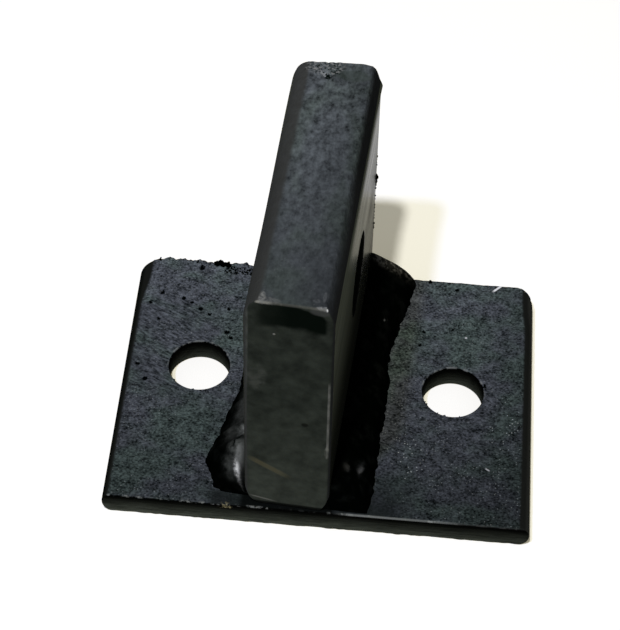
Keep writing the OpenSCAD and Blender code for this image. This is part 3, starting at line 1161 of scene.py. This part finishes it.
def plate_top(place, x, y):
    """The speckled top: its colour, its speckle and the height of its grain."""
    grain = speckled(mapped(place, PLATE_STRETCH), PLATE_FINENESS, PLATE_BLOTCH)
    slanted = mapped(place, BRUSH_STRETCH, BRUSH_TURN, "TEXTURE")
    brushed = spread(cloud(slanted, 1.0), 0.38, 0.66, 0, 1)
    brush_here = spot(x, y, *BRUSH_PLACE) * BRUSH_SHARE
    speckle = between(brush_here, grain["Speckle"], brushed) ** SPECKLE_POWER
    violet = largest(grain["Patch"], spot(x, y, *VIOLET_PLACE))
    base = tint(speckle, PORE_BLACK, tint(violet, GREEN_GREY, VIOLET_GREY))
    # Painted sheen: the top is painted paler towards the back
    sheen_to_back = spread(y, -plate_half[1], plate_half[1], 0.5, 1)
    darker_right = spread(x, -40, 40, 1.14, 1) * spread(x, 28, 38, 1, 0.76)
    duller = rise(x, 0, 30) * rise(y, 0, -26) * 0.2
    base = scaled(base, sheen_to_back * darker_right * (1 - duller))
    clusters = largest(*[spot(x, y, *at) for at in GLINT_PLACES])
    base = tint(grain["Glint"] * spread(clusters, 0, 1, 0.32, 0.9), base, GLINT_GREY)
    return base, speckle, grain["Height"]


def shade_by_the_bar(base, x, y):
    """Flat dark painted shade before the bar and by the right weld, and a painted contact shadow as a black
    line under the bar's front.
    """
    before = rise(y, -25.2, -27) * rise(x, -21.5, -18.5) * rise(x, 18, 13)
    beside = rise(x, 21, 13.5) * rise(x, 3, 8) * rise(y, -16, -26) * 0.8
    base = tint(largest(before, beside) * 0.85, base, SHADE_BY_BAR_BLACK)
    # Painted contact shadow: a black line just in front of the bar's foot
    left, right = out_of_bar(np.array([(side * bar_half[0], -bar_half[1], 0) for side in (-1, 1)]))
    slope = (right[1] - left[1]) / (right[0] - left[0])
    past_foot = x * -slope + y + (slope * left[0] - left[1])
    within = rise(x, left[0] - 1.4, left[0] - 0.2) * rise(x, right[0] + 1.4, right[0] + 0.2)
    contact_shadow = rise(past_foot, -1.5, -0.9) * within * rise(y, -26, -27)
    return tint(contact_shadow * 0.9, base, CONTACT_SHADOW_BLACK)


print("brush marks lie within", BRUSH_PLACE[1], "mm of", BRUSH_PLACE[0])

# %% [markdown]
# ## Paint on the plate's edges
# The rolled sides are smooth and almost black, and the outer part of the left one is painted darker as
# painted shade. The sheared ends and the holes have streaked paint with painted shading: darkest under the
# top edge, paler to the foot and darker in the holes. The top edges have pale lines in broken stretches,
# partly worn paint and partly painted highlights. The masks come from the place on the plate and from the
# numbers that the mesh carries for its cut faces and pits.

# %% Plate: sides, ends and worn edges
SIDE_BLACK = colour(0.009, 0.0095, 0.008)
SIDE_RIGHT_GREY = colour(0.022, 0.0225, 0.019)
# Painted shade on the outer part of the left rolled side
SIDE_LEFT_SHADE = colour(0.0045, 0.005, 0.004)
SHEARED_TINT = (1, 1.1, 0.82)
# Painted shading of the sheared faces and the hole walls: darkest under the top edge, palest at the foot
SHEARED_TOP, SHEARED_FOOT = 0.001, 0.056
# Pale lines on the top edges and the hole rims: worn paint and painted highlights
WORN_EDGE_AND_HIGHLIGHT = colour(0.24, 0.25, 0.23)
WORN_RIM_AND_HIGHLIGHT = colour(0.22, 0.23, 0.22)
# Painted shade in the pits and the groove
PIT_SHADE_BLACK = colour(0.001, 0.0015, 0.0015)
OCHRE = colour(0.22, 0.19, 0.10)


def plate_sides(base, x, y):
    """Dark rolled sides, which also go round the knocked right corner."""
    rolled_from = plate_half[0] - edge_bulge
    by_corner = rise(y, 17, 26)
    left_side = rise(by_corner - x, rolled_from + 0.2, rolled_from + 1.0)
    to_right = x + by_corner * 0.6 + y * 0.0135
    right_side = rise(to_right, rolled_from - 0.2, rolled_from + 0.4)
    corner_x = x - (plate_half[0] - corner_right_back)
    corner_y = largest(y - (plate_half[1] - corner_right_back), 0)
    outer = rise(distance(corner_x, corner_y), corner_right_back - 1.6, corner_right_back - 1.1)
    corner = outer * rise(corner_x, -0.5, 0.1)
    base = tint(largest(left_side, right_side, corner), base, SIDE_BLACK)
    base = tint(rise(to_right, rolled_from + 0.9, rolled_from + 1.7), base, SIDE_RIGHT_GREY)
    # painted shade on the outer part of the left side
    return tint(rise(x, -rolled_from - 0.9, -rolled_from - 1.5), base, SIDE_LEFT_SHADE)


def plate_cuts(base, place, x, y, z):
    """Streaked paint on the sheared ends and in the holes, with painted shading: darkest under the top edge,
    paler to the foot, darker in the holes.
    """
    # Painted shading: darkest under the top edge, paler to the foot, darker in the holes and to the right
    painted_shading = (1 - z / plate_t) ** 2 * (SHEARED_FOOT - SHEARED_TOP) + SHEARED_TOP
    in_hole = rise(abs(y), plate_half[1] - 1, plate_half[1] - 2)
    painted_shading = painted_shading * spread(in_hole, 0, 1, spread(x, 0, 40, 1, 0.65), 0.75)
    streaks = cloud(mapped(place, (0.12, 1, 1.6)), 1.4, 3.0)
    painted_shading = painted_shading * spread(streaks, 0.3, 0.7, 0.6, 1.4)
    return tint(marked(place, "cut"), base, scaled(SHEARED_TINT, painted_shading))


def plate_wear_and_highlights(base, place, x, y, z):
    """Pale lines along the front top edge and round the back of the holes: partly worn paint, partly painted
    highlights.
    """
    under_top = z - plate_t
    whole = rise(x, 3, 8) * spread(x, 6, plate_half[0], 0.75, 0.2)
    line = worn_and_highlight_line(place, y + (plate_half[1] - 0.05), under_top, 0.42, whole)
    before_bar = rise(x, -6, -5) * rise(x, 1.4, 0.7)
    line = line * spread(abs(x), 3, 9, 0.4, 1) * spread(before_bar, 0, 1, 1, 0.1)
    line = line * spread(rise(x, 29, 24), 0, 1, 0.12, 0.8) * spread(rise(x, 0, -8), 0, 1, 1, 0.65)
    # pale line along the front top edge: worn paint and painted highlight
    base = tint(line, base, WORN_EDGE_AND_HIGHLIGHT)
    for centre in hole_centres:
        from_x, from_y = x - centre[0], y - centre[1]
        from_rim = distance(from_x, from_y) - (hole_r + HOLE_RIM)
        line = worn_and_highlight_line(place, from_rim, under_top, 0.35, 0.0) * rise(from_y, -2, 3) * 0.5
        # pale line round the back of each hole: worn paint and painted highlight
        base = tint(line, base, WORN_RIM_AND_HIGHLIGHT)
    return base


def plate_marks(base, place, x, y, z):
    """Pits painted black as painted shade, three pale chips and a speck of ochre on the front."""
    ragged = cloud(place, 2.2, 3.0) * 1.6 - 0.8
    pit = marked(place, "pit")
    # Painted shade: the pits and the groove are painted black
    base = tint(rise(pit + ragged, 0.3, 0.55) * rise(pit, 0.05, 0.2), base, PIT_SHADE_BLACK)
    on_top = rise(z, plate_t - 0.4, plate_t - 0.15)
    for chip, pale in (
        (stroke(x, y, (31.1, 27.7), (33.9, 30.6), 0.6), 0.75),
        (stroke(x, y, (31.6, -16.1), (32.7, -16.8), 0.45), 0.3),
        (spot(x, y, (26.5, 15.4), (0.3, 0.3)), 0.42),
    ):
        base = tint(chip * on_top, base, colour(pale, pale, pale))
    ochre = spot(x, z, (-16.6, 4.2), (1.6, 1.0)) * rise(y, -28.6, -29)
    return tint(ochre * rise(cloud(place, 1.8), 0.5, 0.6), base, OCHRE)


def plate_paint():
    material, shader, place = new_paint("plate_black")
    x, y, z = axes(place)
    base, speckle, height = plate_top(place, x, y)
    base = plate_sides(shade_by_the_bar(base, x, y), x, y)
    base = plate_wear_and_highlights(plate_cuts(base, place, x, y, z), place, x, y, z)
    base = plate_marks(base, place, x, y, z)
    roughness = spread(speckle, 0, 1, 0.6, 0.42)
    feed(shader, {"Base Color": base, "Roughness": roughness, "Normal": bump(height, 0.3)})
    return material


plate_black = plate_paint()
plate.data.materials.append(plate_black)
print(plate_black.name, "has", len(plate_black.node_tree.nodes), "nodes")

# %% [markdown]
# ## Paint on the bar's ends
# The cut ends are smooth, mottled and a little olive. The front one has a dark patch under its top edge, pale
# upright edges with a painted highlight down the right one, a smear of ochre, and at its foot a painted
# contact shadow as a dark line with a painted highlight above it. They are listed with their places across
# and above the plate, and mixed over the olive in that order.

# %% Bar: cut ends
OLIVE_DARK = colour(0.0112, 0.0131, 0.0102)
OLIVE_PALE = colour(0.0284, 0.0328, 0.0254)
OLIVE_FOOT = (0.037, 0.0415, 0.0322)
# Dark patch under the front top edge: left and right, its lower side and how its upper side falls away
PATCH_LEFT, PATCH_RIGHT = -5.6, 6.5
PATCH_LOW = 52.6
PATCH_FALL = 0.055
# Painted highlight down the front right edge, where its sharp edge catches the light: place across, and from
# and to above the plate
HIGHLIGHT_AT = 7.3
HIGHLIGHT_FROM, HIGHLIGHT_TO = 17, 38.5


def dark_patch(x, z, patches):
    """Dark place under the front top edge, with a soft lower side."""
    wavy = (patches - 0.5) * 4.0 + z
    above = rise(wavy, PATCH_LOW - 0.9, PATCH_LOW + 0.7)
    below = rise(largest(x, 0) ** 2 * PATCH_FALL + wavy, bar_h + 0.3, bar_h - 0.6)
    left = rise(x, PATCH_LEFT - 0.8, PATCH_LEFT + 1.2)
    right = rise(x - (wavy - z) * 0.5, PATCH_RIGHT + 0.3, PATCH_RIGHT - 0.6)
    return above * below * left * right * spread(x, -5.5, 0, 0.7, 1)


def front_marks(place, x, z):
    """Rows of where a mark lies on the front end, how strong it is and its colour."""
    patchy = rise(cloud(place, 0.45, 3.0), 0.35, 0.65)
    # Painted highlight down the front right edge, broken by patches
    edge_highlight = rise(abs(x - HIGHLIGHT_AT), 0.3, 0.1) * spread(patchy, 0, 1, 0.5, 1)
    edge_highlight = edge_highlight * rise(z, HIGHLIGHT_FROM - 0.5, HIGHLIGHT_FROM + 0.5) * rise(z, HIGHLIGHT_TO + 1, HIGHLIGHT_TO - 1)
    left_at = spread(z, 24, 50, 0.05 - bar_half[0], 0.55 - bar_half[0])
    left_edge = rise(abs(x - left_at), 0.55, 0.1) * spread(patchy, 0, 1, 0.4, 1) * rise(z, 4, 20)
    return (
        (dark_patch(x, z, cloud(place, 0.14, 3.0)), 1.0, colour(0.0025, 0.004, 0.0027)),
        # pale corner at the top right, and a rubbed place at the left
        (spot(x, z, (5.4, 58.2), (2.2, 1.2)), 0.7, colour(0.045, 0.046, 0.042)),
        (spot(x, z, (-5.6, 38.5), (2.2, 4.2)) * patchy, 0.7, colour(0.050, 0.053, 0.044)),
        # smear of ochre, a dark dot and a pale dot
        (stroke(x, z, (-7.8, 14.8), (1.4, 8.8), 1.7), 0.55, colour(0.078, 0.069, 0.038)),
        (spot(x, z, (3.1, 26.2), (0.8, 0.6)), 0.7, colour(0.004, 0.004, 0.003)),
        (spot(x, z, (-2.55, 50.9), (0.3, 0.3)), 0.8, colour(0.16, 0.16, 0.14)),
        # upright edges: a pale line at the left, a dark strip at the right, and a painted highlight down the
        # right edge that ends in a pale spot
        (left_edge, 0.8, colour(0.066, 0.069, 0.060)),
        (rise(x, HIGHLIGHT_AT + 0.1, HIGHLIGHT_AT + 0.4), 0.7, colour(0.009, 0.010, 0.008)),
        (edge_highlight, 0.9, colour(0.12, 0.12, 0.105)),
        (spot(x, z, (7.2, 18.5), (0.5, 2.2)) * patchy, 0.5, colour(0.17, 0.17, 0.14)),
        # painted contact shadow as a dark line at the foot, a painted highlight along the foot's edge above
        # it, and a chip
        (rise(z, 1.25, 0.75), 0.9, colour(0.0025, 0.003, 0.0025)),
        (stroke(x, z, (-7.4, 2.5), (-1.5, 1.2), 0.55), 0.7, colour(0.12, 0.12, 0.10)),
        (spot(x, z, (7.1, 0.3), (0.6, 0.5)), 0.8, colour(0.15, 0.15, 0.13)),
    )


def bar_ends(place, x, y, z):
    """Smooth olive black of the cut ends, with the marks on the front one."""
    mottled = cloud(place, 0.3, 4.0, 0.6)
    olive = tint(spread(mottled, 0.3, 0.7, 0, 1), OLIVE_DARK, OLIVE_PALE)
    foot = scaled(OLIVE_FOOT, spread(mottled, 0.3, 0.7, 0.7, 1.3))
    olive = tint(spread(z, 0, bar_h * 0.55, 0.75, 0), olive, foot)
    front = rise(y, 0.0, -1.0)
    for share, amount, mark_colour in front_marks(place, x, z):
        olive = tint(share * amount * front, olive, mark_colour)
    return olive


print("the dark patch starts", PATCH_LOW, "mm above the plate")

# %% [markdown]
# ## Paint on the bar's top
# The top has a coarser speckle than the plate, more uneven to the back, darker and greyer to the front and
# darker to the right, and painted paler to the back as a painted sheen. Its two rolled corners are darker and
# smooth. The front edge is pale at both ends, partly rubbed and partly a painted highlight, and flakes of
# scale stand in a rough patch at the back, with painted shade in its hollow.

# %% Bar: top
BAR_STRETCH = (1.15, 0.85, 1)
BAR_FINENESS, BAR_BLOTCH = 1.7, 0.4
BAR_GREEN = colour(0.061, 0.073, 0.068)
BAR_VIOLET = colour(0.065, 0.070, 0.078)
BAR_GLINT = colour(0.15, 0.155, 0.155)
BACK_GREEN = colour(0.040, 0.050, 0.043)
CORNER_LEFT_GREY = (0.031, 0.031, 0.028)
CORNER_RIGHT_BLACK = (0.011, 0.0112, 0.0108)
# Pale front edge, partly rubbed paint and partly a painted highlight
RUBBED_EDGE_AND_HIGHLIGHT = colour(0.19, 0.185, 0.155)
FLAKE_PALE = colour(0.17, 0.17, 0.16)
FLAKE_DARK = colour(0.012, 0.015, 0.012)
# Rubbed places on the top: middle, radii, amount, colour
TOP_RUBS = (
    ((-4.8, -28.4), (0.7, 1.5), 0.8, colour(0.17, 0.17, 0.155)),
    ((-3.6, -28.9), (2.4, 0.8), 0.5, colour(0.13, 0.13, 0.12)),
    ((6.0, -29.2), (1.6, 0.4), 0.6, colour(0.25, 0.25, 0.24)),
    ((6.7, -29.35), (0.4, 0.4), 1.0, colour(0.8, 0.8, 0.77)),
    ((5.7, -26.8), (0.4, 1.4), 0.35, colour(0.12, 0.125, 0.125)),
    ((4.5, -27.8), (0.9, 0.5), 0.3, colour(0.12, 0.125, 0.125)),
)
# Dark and pale spots in the rough patch: middle, radii, colour; the dark one in the hollow is painted shade
SCALE_MARKS = (
    (SCALE_HOLLOW[:2], (0.75, 0.75), colour(0.001, 0.003, 0.002)),
    ((-0.3, 26.6), (0.5, 0.5), colour(0.008, 0.011, 0.009)),
    ((-2.3, 26.1), (0.6, 0.45), colour(0.19, 0.2, 0.2)),
)


def bar_top(place, x, y):
    """Speckled top of the bar between its two dark rolled corners: the colour and the grain."""
    drawn = mapped(place, BAR_STRETCH)
    grain = speckled(drawn, BAR_FINENESS, BAR_BLOTCH)
    uneven = cloud(drawn, 0.7, 3.0) * 0.5 + grain["Height"] * 0.5
    level = (uneven - 0.5) * spread(y, -24, 22, 2.4, 5.4) + 1.0
    violet = largest(grain["Patch"] * 0.7, spot(x, y, (0.8, 6), (5.5, 17)) * 0.7)
    base = scaled(tint(violet, BAR_GREEN, BAR_VIOLET), largest(level, 0.15))
    # Darker to the right and to the front; the paler back is a painted sheen
    across = spread(x, -1, 6.5, 1, 0.62) * spread(x, -5.6, -3.6, 0.85, 1)
    along = spread(y, -bar_half[1], 8, 0.64, 1) * spread(y, 12, bar_half[1], 1, 1.05)
    base = tint(grain["Glint"] * 0.15, scaled(base, across * along), BAR_GLINT)
    base = tint(spot(x, y, (3.2, 26.3), (4.2, 1.7)) * 0.6, base, BACK_GREEN)
    left_to = corner_left - bar_half[0]
    left_grey = scaled(CORNER_LEFT_GREY, spread(y, 0, 24, 1, 1.2))
    base = tint(rise(x, left_to + 0.6, left_to - 0.4) * 0.9, base, left_grey)
    right_from = bar_half[0] - corner_right
    right = rise(x, right_from, spread(y, -6, 6, right_from + 1.4, right_from + 0.8))
    right_black = scaled(CORNER_RIGHT_BLACK, spread(y, -6, 6, 1.1, 0.75))
    return tint(right * 0.95, base, right_black), grain


def bar_top_wear_and_highlight(base, place, x, y, z):
    """Front edge pale, partly rubbed paint and partly a painted highlight, and the flakes of the rough patch.
    """
    # Pale line along the front edge: rubbed paint and a painted highlight
    line = worn_and_highlight_line(place, y + bar_half[1], z - bar_h, 0.5, 0.7)
    lit = spot(x, y, (-4.8, -29.4), (2.0, 3)) + spread(x, 3, 6.5, 0.35, 0.7)
    base = tint(line * lit * 0.8, base, RUBBED_EDGE_AND_HIGHLIGHT)
    on_top = rise(z, bar_h - 0.7, bar_h - 0.3)
    flakes = cloud(place, 2.0, 3.0)
    rubbed = on_top * spread(flakes, 0.4, 0.6, 0.3, 1)
    for middle, radii, amount, pale in TOP_RUBS:
        base = tint(spot(x, y, middle, radii) * rubbed * amount, base, pale)
    rough_here = rise(marked(place, "pit"), 0.25, 0.6)
    base = tint(rough_here * rise(flakes, 0.5, 0.62), base, FLAKE_PALE)
    base = tint(rough_here * rise(flakes, 0.46, 0.36), base, FLAKE_DARK)
    frayed = flakes * 2.4 - 1.2
    for middle, radii, shade in SCALE_MARKS:
        base = tint(spot(x + frayed, y - frayed, middle, radii) * on_top, base, shade)
    return base


print("rubbed places on the bar's top:", len(TOP_RUBS))

# %% [markdown]
# ## Paint on the bar's sides, and the whole bar
# The sides are smooth and streaked along the bar, and painted darker to the foot as painted shade, the right
# one most. The right one shines at a flat angle, which a clear coat gives without changing the colour below
# it. The layers are then put together in the order in which they lie: top, sides, ends, hole, and wear and
# highlights.

# %% Bar: sides and the whole paint
SIDE_STREAK_DARK = colour(0.022, 0.024, 0.017)
SIDE_STREAK_PALE = colour(0.072, 0.076, 0.054)
BORE_BLACK = colour(0.004, 0.0045, 0.0036)
BAR_COAT_ROUGHNESS = 0.16
bar_shift = -(Matrix.Rotation(bar_skew, 3, "Z") @ Vector((*bar_centre, plate_t)))


def bar_sides(x, z, streaks):
    sides = tint(streaks, SIDE_STREAK_DARK, SIDE_STREAK_PALE)
    # Painted shade: darker to the foot, on the right side most
    foot = spread(x, -1, 1, 0.6, 0.16)
    return scaled(sides, between(rise(z, 14, 54), foot, 1.2))


def bar_gloss(x, y, z, streaks):
    """Clear coat on the right side, above where the plate would show in it."""
    smooth_side = rise(x, bar_half[0] - 0.15, bar_half[0] - 0.05) * rise(z, bar_h - corner_h, bar_h - 12)
    clear_of_plate = rise(z * 0.81 + y, 19, 36)
    uneven = spread(y, -10, 22, 0.62, 1) * spread(streaks, 0.3, 0.7, 0.28, 0.6)
    duller = rise(z, 44, 36) * rise(z, 24, 30) * rise(y, 16, 22) * 0.3
    return smooth_side * clear_of_plate * uneven * (1 - duller)


def bar_paint():
    material, shader, place = new_paint("bar_black", bar_skew, bar_shift)
    x, y, z = axes(place)
    base, grain = bar_top(place, x, y)
    side = rise(abs(x), bar_half[0] - 0.12, bar_half[0] - 0.04)
    streaks = cloud(mapped(place, (1, 0.06, 1)), 0.7, 4.0, 0.6)
    base = tint(side, base, bar_sides(x, z, streaks))
    cut = marked(place, "cut")
    base = tint(cut, base, bar_ends(place, x, y, z))
    base = tint(marked(place, "bore"), base, BORE_BLACK)
    flatter = spread(largest(cut, side), 0, 1, 1, 0.12)
    finish = {
        "Base Color": bar_top_wear_and_highlight(base, place, x, y, z),
        "Roughness": spread(grain["Speckle"], 0, 1, 0.55, 0.4),
        "Coat Weight": bar_gloss(x, y, z, streaks),
        "Coat Roughness": BAR_COAT_ROUGHNESS,
        "Normal": bump(grain["Height"] * flatter, 0.25),
    }
    feed(shader, finish)
    return material


bar_black = bar_paint()
bar.data.materials.append(bar_black)
print(bar_black.name, "has", len(bar_black.node_tree.nodes), "nodes")

# %% [markdown]
# ## Paint on the welds
# On the welds the paint has run thick and black. Pale grey lies on the left one's upper face, painted as a
# sheen round its highlight, painted light brightens the right one's back end, painted shade darkens a crease
# across the left one, and a few high spots are painted pale as painted highlights under a clear coat. All
# these places are given along and across the weld, from the numbers that the mesh carries, so they bend with
# it.

# %% Paint on the welds
# Places on each weld where the paint is not plain black: place along, place across, length, width, amount
# Pale grey on the left weld's upper face; the first place, round the highlight, is a painted sheen
LEFT_PALE_AND_SHEEN = (
    (-23.4, 0.84, 2.6, 0.14, 1.0), (-25.6, 0.64, 1.4, 0.12, 0.6), (-18.3, 0.80, 1.5, 0.16, 0.9),
    (-18.2, 0.60, 2.2, 0.14, 0.4), (-12.3, 0.72, 6.0, 0.16, 0.5),
)
# Painted highlights on the left weld
LEFT_HIGHLIGHTS = (
    (-26.3, 0.80, 1.0, 0.045, 1.0), (-24.4, 0.86, 1.4, 0.05, 0.10), (-18.3, 0.85, 0.7, 0.05, 0.12),
)
# Painted light on the right weld's back end
RIGHT_PAINTED_LIGHT = ((28.2, 0.66, 1.3, 0.30, 0.8),)
# Painted highlights on the right weld
RIGHT_HIGHLIGHTS = (
    (-23.4, 0.80, 0.7, 0.05, 0.04), (-22.7, 0.52, 0.9, 0.05, 0.08), (14.5, 0.5, 0.3, 0.025, 0.35),
)
# The crease, darkened with painted shade: its two ends along and across the left weld, and its width
LEFT_CREASE = ((-23.6, 0.73), (-18.8, 0.84), 0.05)
WELD_DEEP = colour(0.0004, 0.0007, 0.0005)
WELD_DARK = colour(0.003, 0.0035, 0.003)
# Pale grey and painted sheen of the left weld, painted light of the right weld, painted shade of the crease,
# and the painted highlights
LEFT_PALE_AND_SHEEN_GREY = colour(0.064, 0.068, 0.062)
RIGHT_PAINTED_LIGHT_GREY = colour(0.2, 0.19, 0.165)
CREASE_SHADE_BLACK = colour(0.003, 0.004, 0.0035)
HIGHLIGHT_PALE = colour(0.62, 0.62, 0.60)
WELD_COAT_ROUGHNESS = 0.37


def any_of(along, across, places):
    """The strongest of several places on a weld, each fading out softly."""
    shares = []
    for at, at_across, length, width, amount in places:
        first, second = (along - at) / length, (across - at_across) / width
        shares.append(maths("EXPONENT", (first * first + second * second) * -1) * amount)
    return largest(*shares)


def weld_paint():
    material, shader, place = new_paint("weld_black", bar_skew, bar_shift)
    left = maths("LESS_THAN", axes(place)[0], 0)
    right = 1 - left
    gritty = cloud(place, 0.9, 4.0, 0.6)
    blotch = cloud(place, 0.35, 3.0)
    along = (cloud(place, 0.5, 3.0) - 0.5) * 2.4 + marked(place, "along") / MM
    across = (gritty - 0.5) * 0.16 + marked(place, "across")
    base = tint(rise(blotch, 0.5, 0.75), WELD_DEEP, WELD_DARK)
    # Pale grey on the left weld, with a painted sheen round its highlight
    left_pale_and_sheen = any_of(along, across, LEFT_PALE_AND_SHEEN) * left * spread(gritty, 0.3, 0.6, 0.35, 1)
    base = tint(left_pale_and_sheen, base, LEFT_PALE_AND_SHEEN_GREY)
    # Painted shade in the crease
    base = tint(stroke(along, across, *LEFT_CREASE) * left, base, CREASE_SHADE_BLACK)
    # Painted light on the right weld's back end
    right_painted_light = any_of(along, across, RIGHT_PAINTED_LIGHT) * right * spread(gritty, 0.46, 0.58, 0.12, 1)
    base = tint(right_painted_light, base, RIGHT_PAINTED_LIGHT_GREY)
    # Painted highlights on high spots, under a clear coat
    highlight_share = largest(any_of(along, across, LEFT_HIGHLIGHTS) * left, any_of(along, across, RIGHT_HIGHLIGHTS) * right)
    finish = {
        "Base Color": tint(highlight_share * spread(gritty, 0.38, 0.6, 0.4, 1), base, HIGHLIGHT_PALE),
        "Roughness": spread(blotch, 0.3, 0.7, 0.22, 0.4),
        "Coat Weight": highlight_share * 0.9,
        "Coat Roughness": WELD_COAT_ROUGHNESS,
        "Normal": bump(cloud(place, 1.6, 3.0), 0.15),
    }
    feed(shader, finish)
    return material


weld_black = weld_paint()
WELD_VALUES = {
    "Pitch": 3.4 * MM, "Ripple": 0.04 * MM, "Trail": 1.6 * MM, "Lump Size": 4 * MM, "Lump": 1.0 * MM,
    "Grit Size": 1.1 * MM, "Grit": 0.35 * MM, "Paint": weld_black,
}
grow(weld_left, weld_ripples, {**WELD_VALUES, "Seed": 2.0})
grow(weld_right, weld_ripples, {**WELD_VALUES, "Seed": 5.0})

# %% [markdown]
# ## Burrs and crumbs
# The shears and the drill left torn crumbs of metal and paint along the back edge and by the holes. They are
# many small rough lumps, so one is made and placed on points by Geometry Nodes, each turned and sized by a
# fixed seed. The points are listed in small heaps where the real ones sit.

# %% Geometry Nodes: crumbs
def random_vector(tree, low, high, seed):
    inputs = {"Min": (low,) * 3, "Max": (high,) * 3, "Seed": seed}
    return field(tree, "FunctionNodeRandomValue", inputs, data_type="FLOAT_VECTOR")


def crumb_tree():
    inputs = [("Seed", "Int"), ("Roughness", "Float"), ("Paint", "Material")]
    tree, given = geometry_tree("rough_crumbs", inputs)
    ball = field(tree, "GeometryNodeMeshIcoSphere", {"Radius": 1.0, "Subdivisions": 2})
    where = field(tree, "GeometryNodeInputPosition")
    bumps = field(tree, "ShaderNodeTexNoise", {"Vector": where, "Scale": 1.4, "Detail": 2.0})
    stretch = random_vector(tree, 0.7, 1.3, given["Seed"])
    on_points = {
        "Points": given["Geometry"],
        "Instance": pushed(tree, ball, (bumps - 0.5) * given["Roughness"]),
        "Rotation": random_vector(tree, 0, math.tau, given["Seed"]),
        "Scale": scaled(stretch, stored(tree, "size")),
    }
    end_tree(tree, field(tree, "GeometryNodeInstanceOnPoints", on_points), given["Paint"])
    return tree


# Heaps of crumbs: middle, spread, how many, smallest and largest size
PLATE_HEAPS = (
    ((-23.9, 29.3, 5.35), (1.5, 0.2, 0.45), 42, 0.18, 0.45),
    ((-20.4, 28.4, 4.97), (3.0, 1.1, 0.06), 120, 0.10, 0.26),
    ((-36.5, 29.3, 5.3), (0.1, 0.05, 0.1), 2, 0.22, 0.32),
    ((-36.5, 29.35, 5.8), (0.05, 0.03, 0.15), 2, 0.13, 0.2),
    ((-28.9, 29.3, 5.3), (0.1, 0.05, 0.1), 2, 0.2, 0.28),
    ((-28.8, 29.35, 5.75), (0.05, 0.03, 0.15), 2, 0.1, 0.17),
    ((18.5, 29.2, 5.0), (0.3, 0.1, 0.12), 5, 0.25, 0.42),
    ((22.6, 29.2, 4.85), (0.8, 0.1, 0.06), 8, 0.15, 0.28),
    ((30.7, 3.2, 4.9), (0.2, 0.8, 0.05), 9, 0.12, 0.26),
    ((-39.9, 9.7, 2.6), (0.1, 0.4, 0.3), 6, 0.15, 0.3),
)
BAR_HEAPS = (
    ((7.85, 29.65, 28.6), (0.12, 0.08, 1.0), 16, 0.28, 0.52),
    ((7.85, 29.7, 34.0), (0.08, 0.05, 2.4), 12, 0.12, 0.28),
    ((7.85, 29.7, 20.5), (0.08, 0.05, 6.5), 24, 0.12, 0.28),
)
CRUMB_ROUGHNESS = 0.9


def crumbs(name, heaps, seed, place):
    """Points in small heaps, each with a size, and a rough lump on each."""
    chance = np.random.default_rng(seed)
    points, sizes = [], []
    for middle, width, count, small, large in heaps:
        points.append(np.array(middle) + chance.uniform(-1, 1, (count, 3)) * width)
        sizes.append(chance.uniform(small, large, count))
    mesh = bpy.data.meshes.new(name)
    mesh.from_pydata(place(np.concatenate(points)) * MM, [], [])
    piece = bpy.data.objects.new(name, mesh)
    bpy.context.scene.collection.objects.link(piece)
    mark(piece, "size", np.concatenate(sizes) * MM)
    grow(piece, rough_crumbs, {"Seed": seed, "Roughness": CRUMB_ROUGHNESS, "Paint": weld_black})
    return piece


rough_crumbs = crumb_tree()
plate_crumbs = crumbs("plate_burrs", PLATE_HEAPS, 4, lambda points: points)
bar_crumbs = crumbs("bar_burrs", BAR_HEAPS, 9, out_of_bar)

# %% [markdown]
# ## Handing over to the frame
# Each dressed piece is listed with the solid it stands for, which is hidden, and with a paint slot, which
# nothing here uses. The hasp has no moving parts, so all of it rides on the one body.

# %% Ride and replace
PIECES = (
    (plate, "base_plate", "plate_paint"),
    (bar, "lock_bar", "bar_paint"),
    (weld_left, "weld_left", "weld_paint"),
    (weld_right, "weld_right", "weld_paint"),
    (plate_crumbs, None, "plate_paint"),
    (bar_crumbs, None, "bar_paint"),
)
for piece, node, slot in PIECES:
    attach(piece, "root")
    if node:
        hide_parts(node)
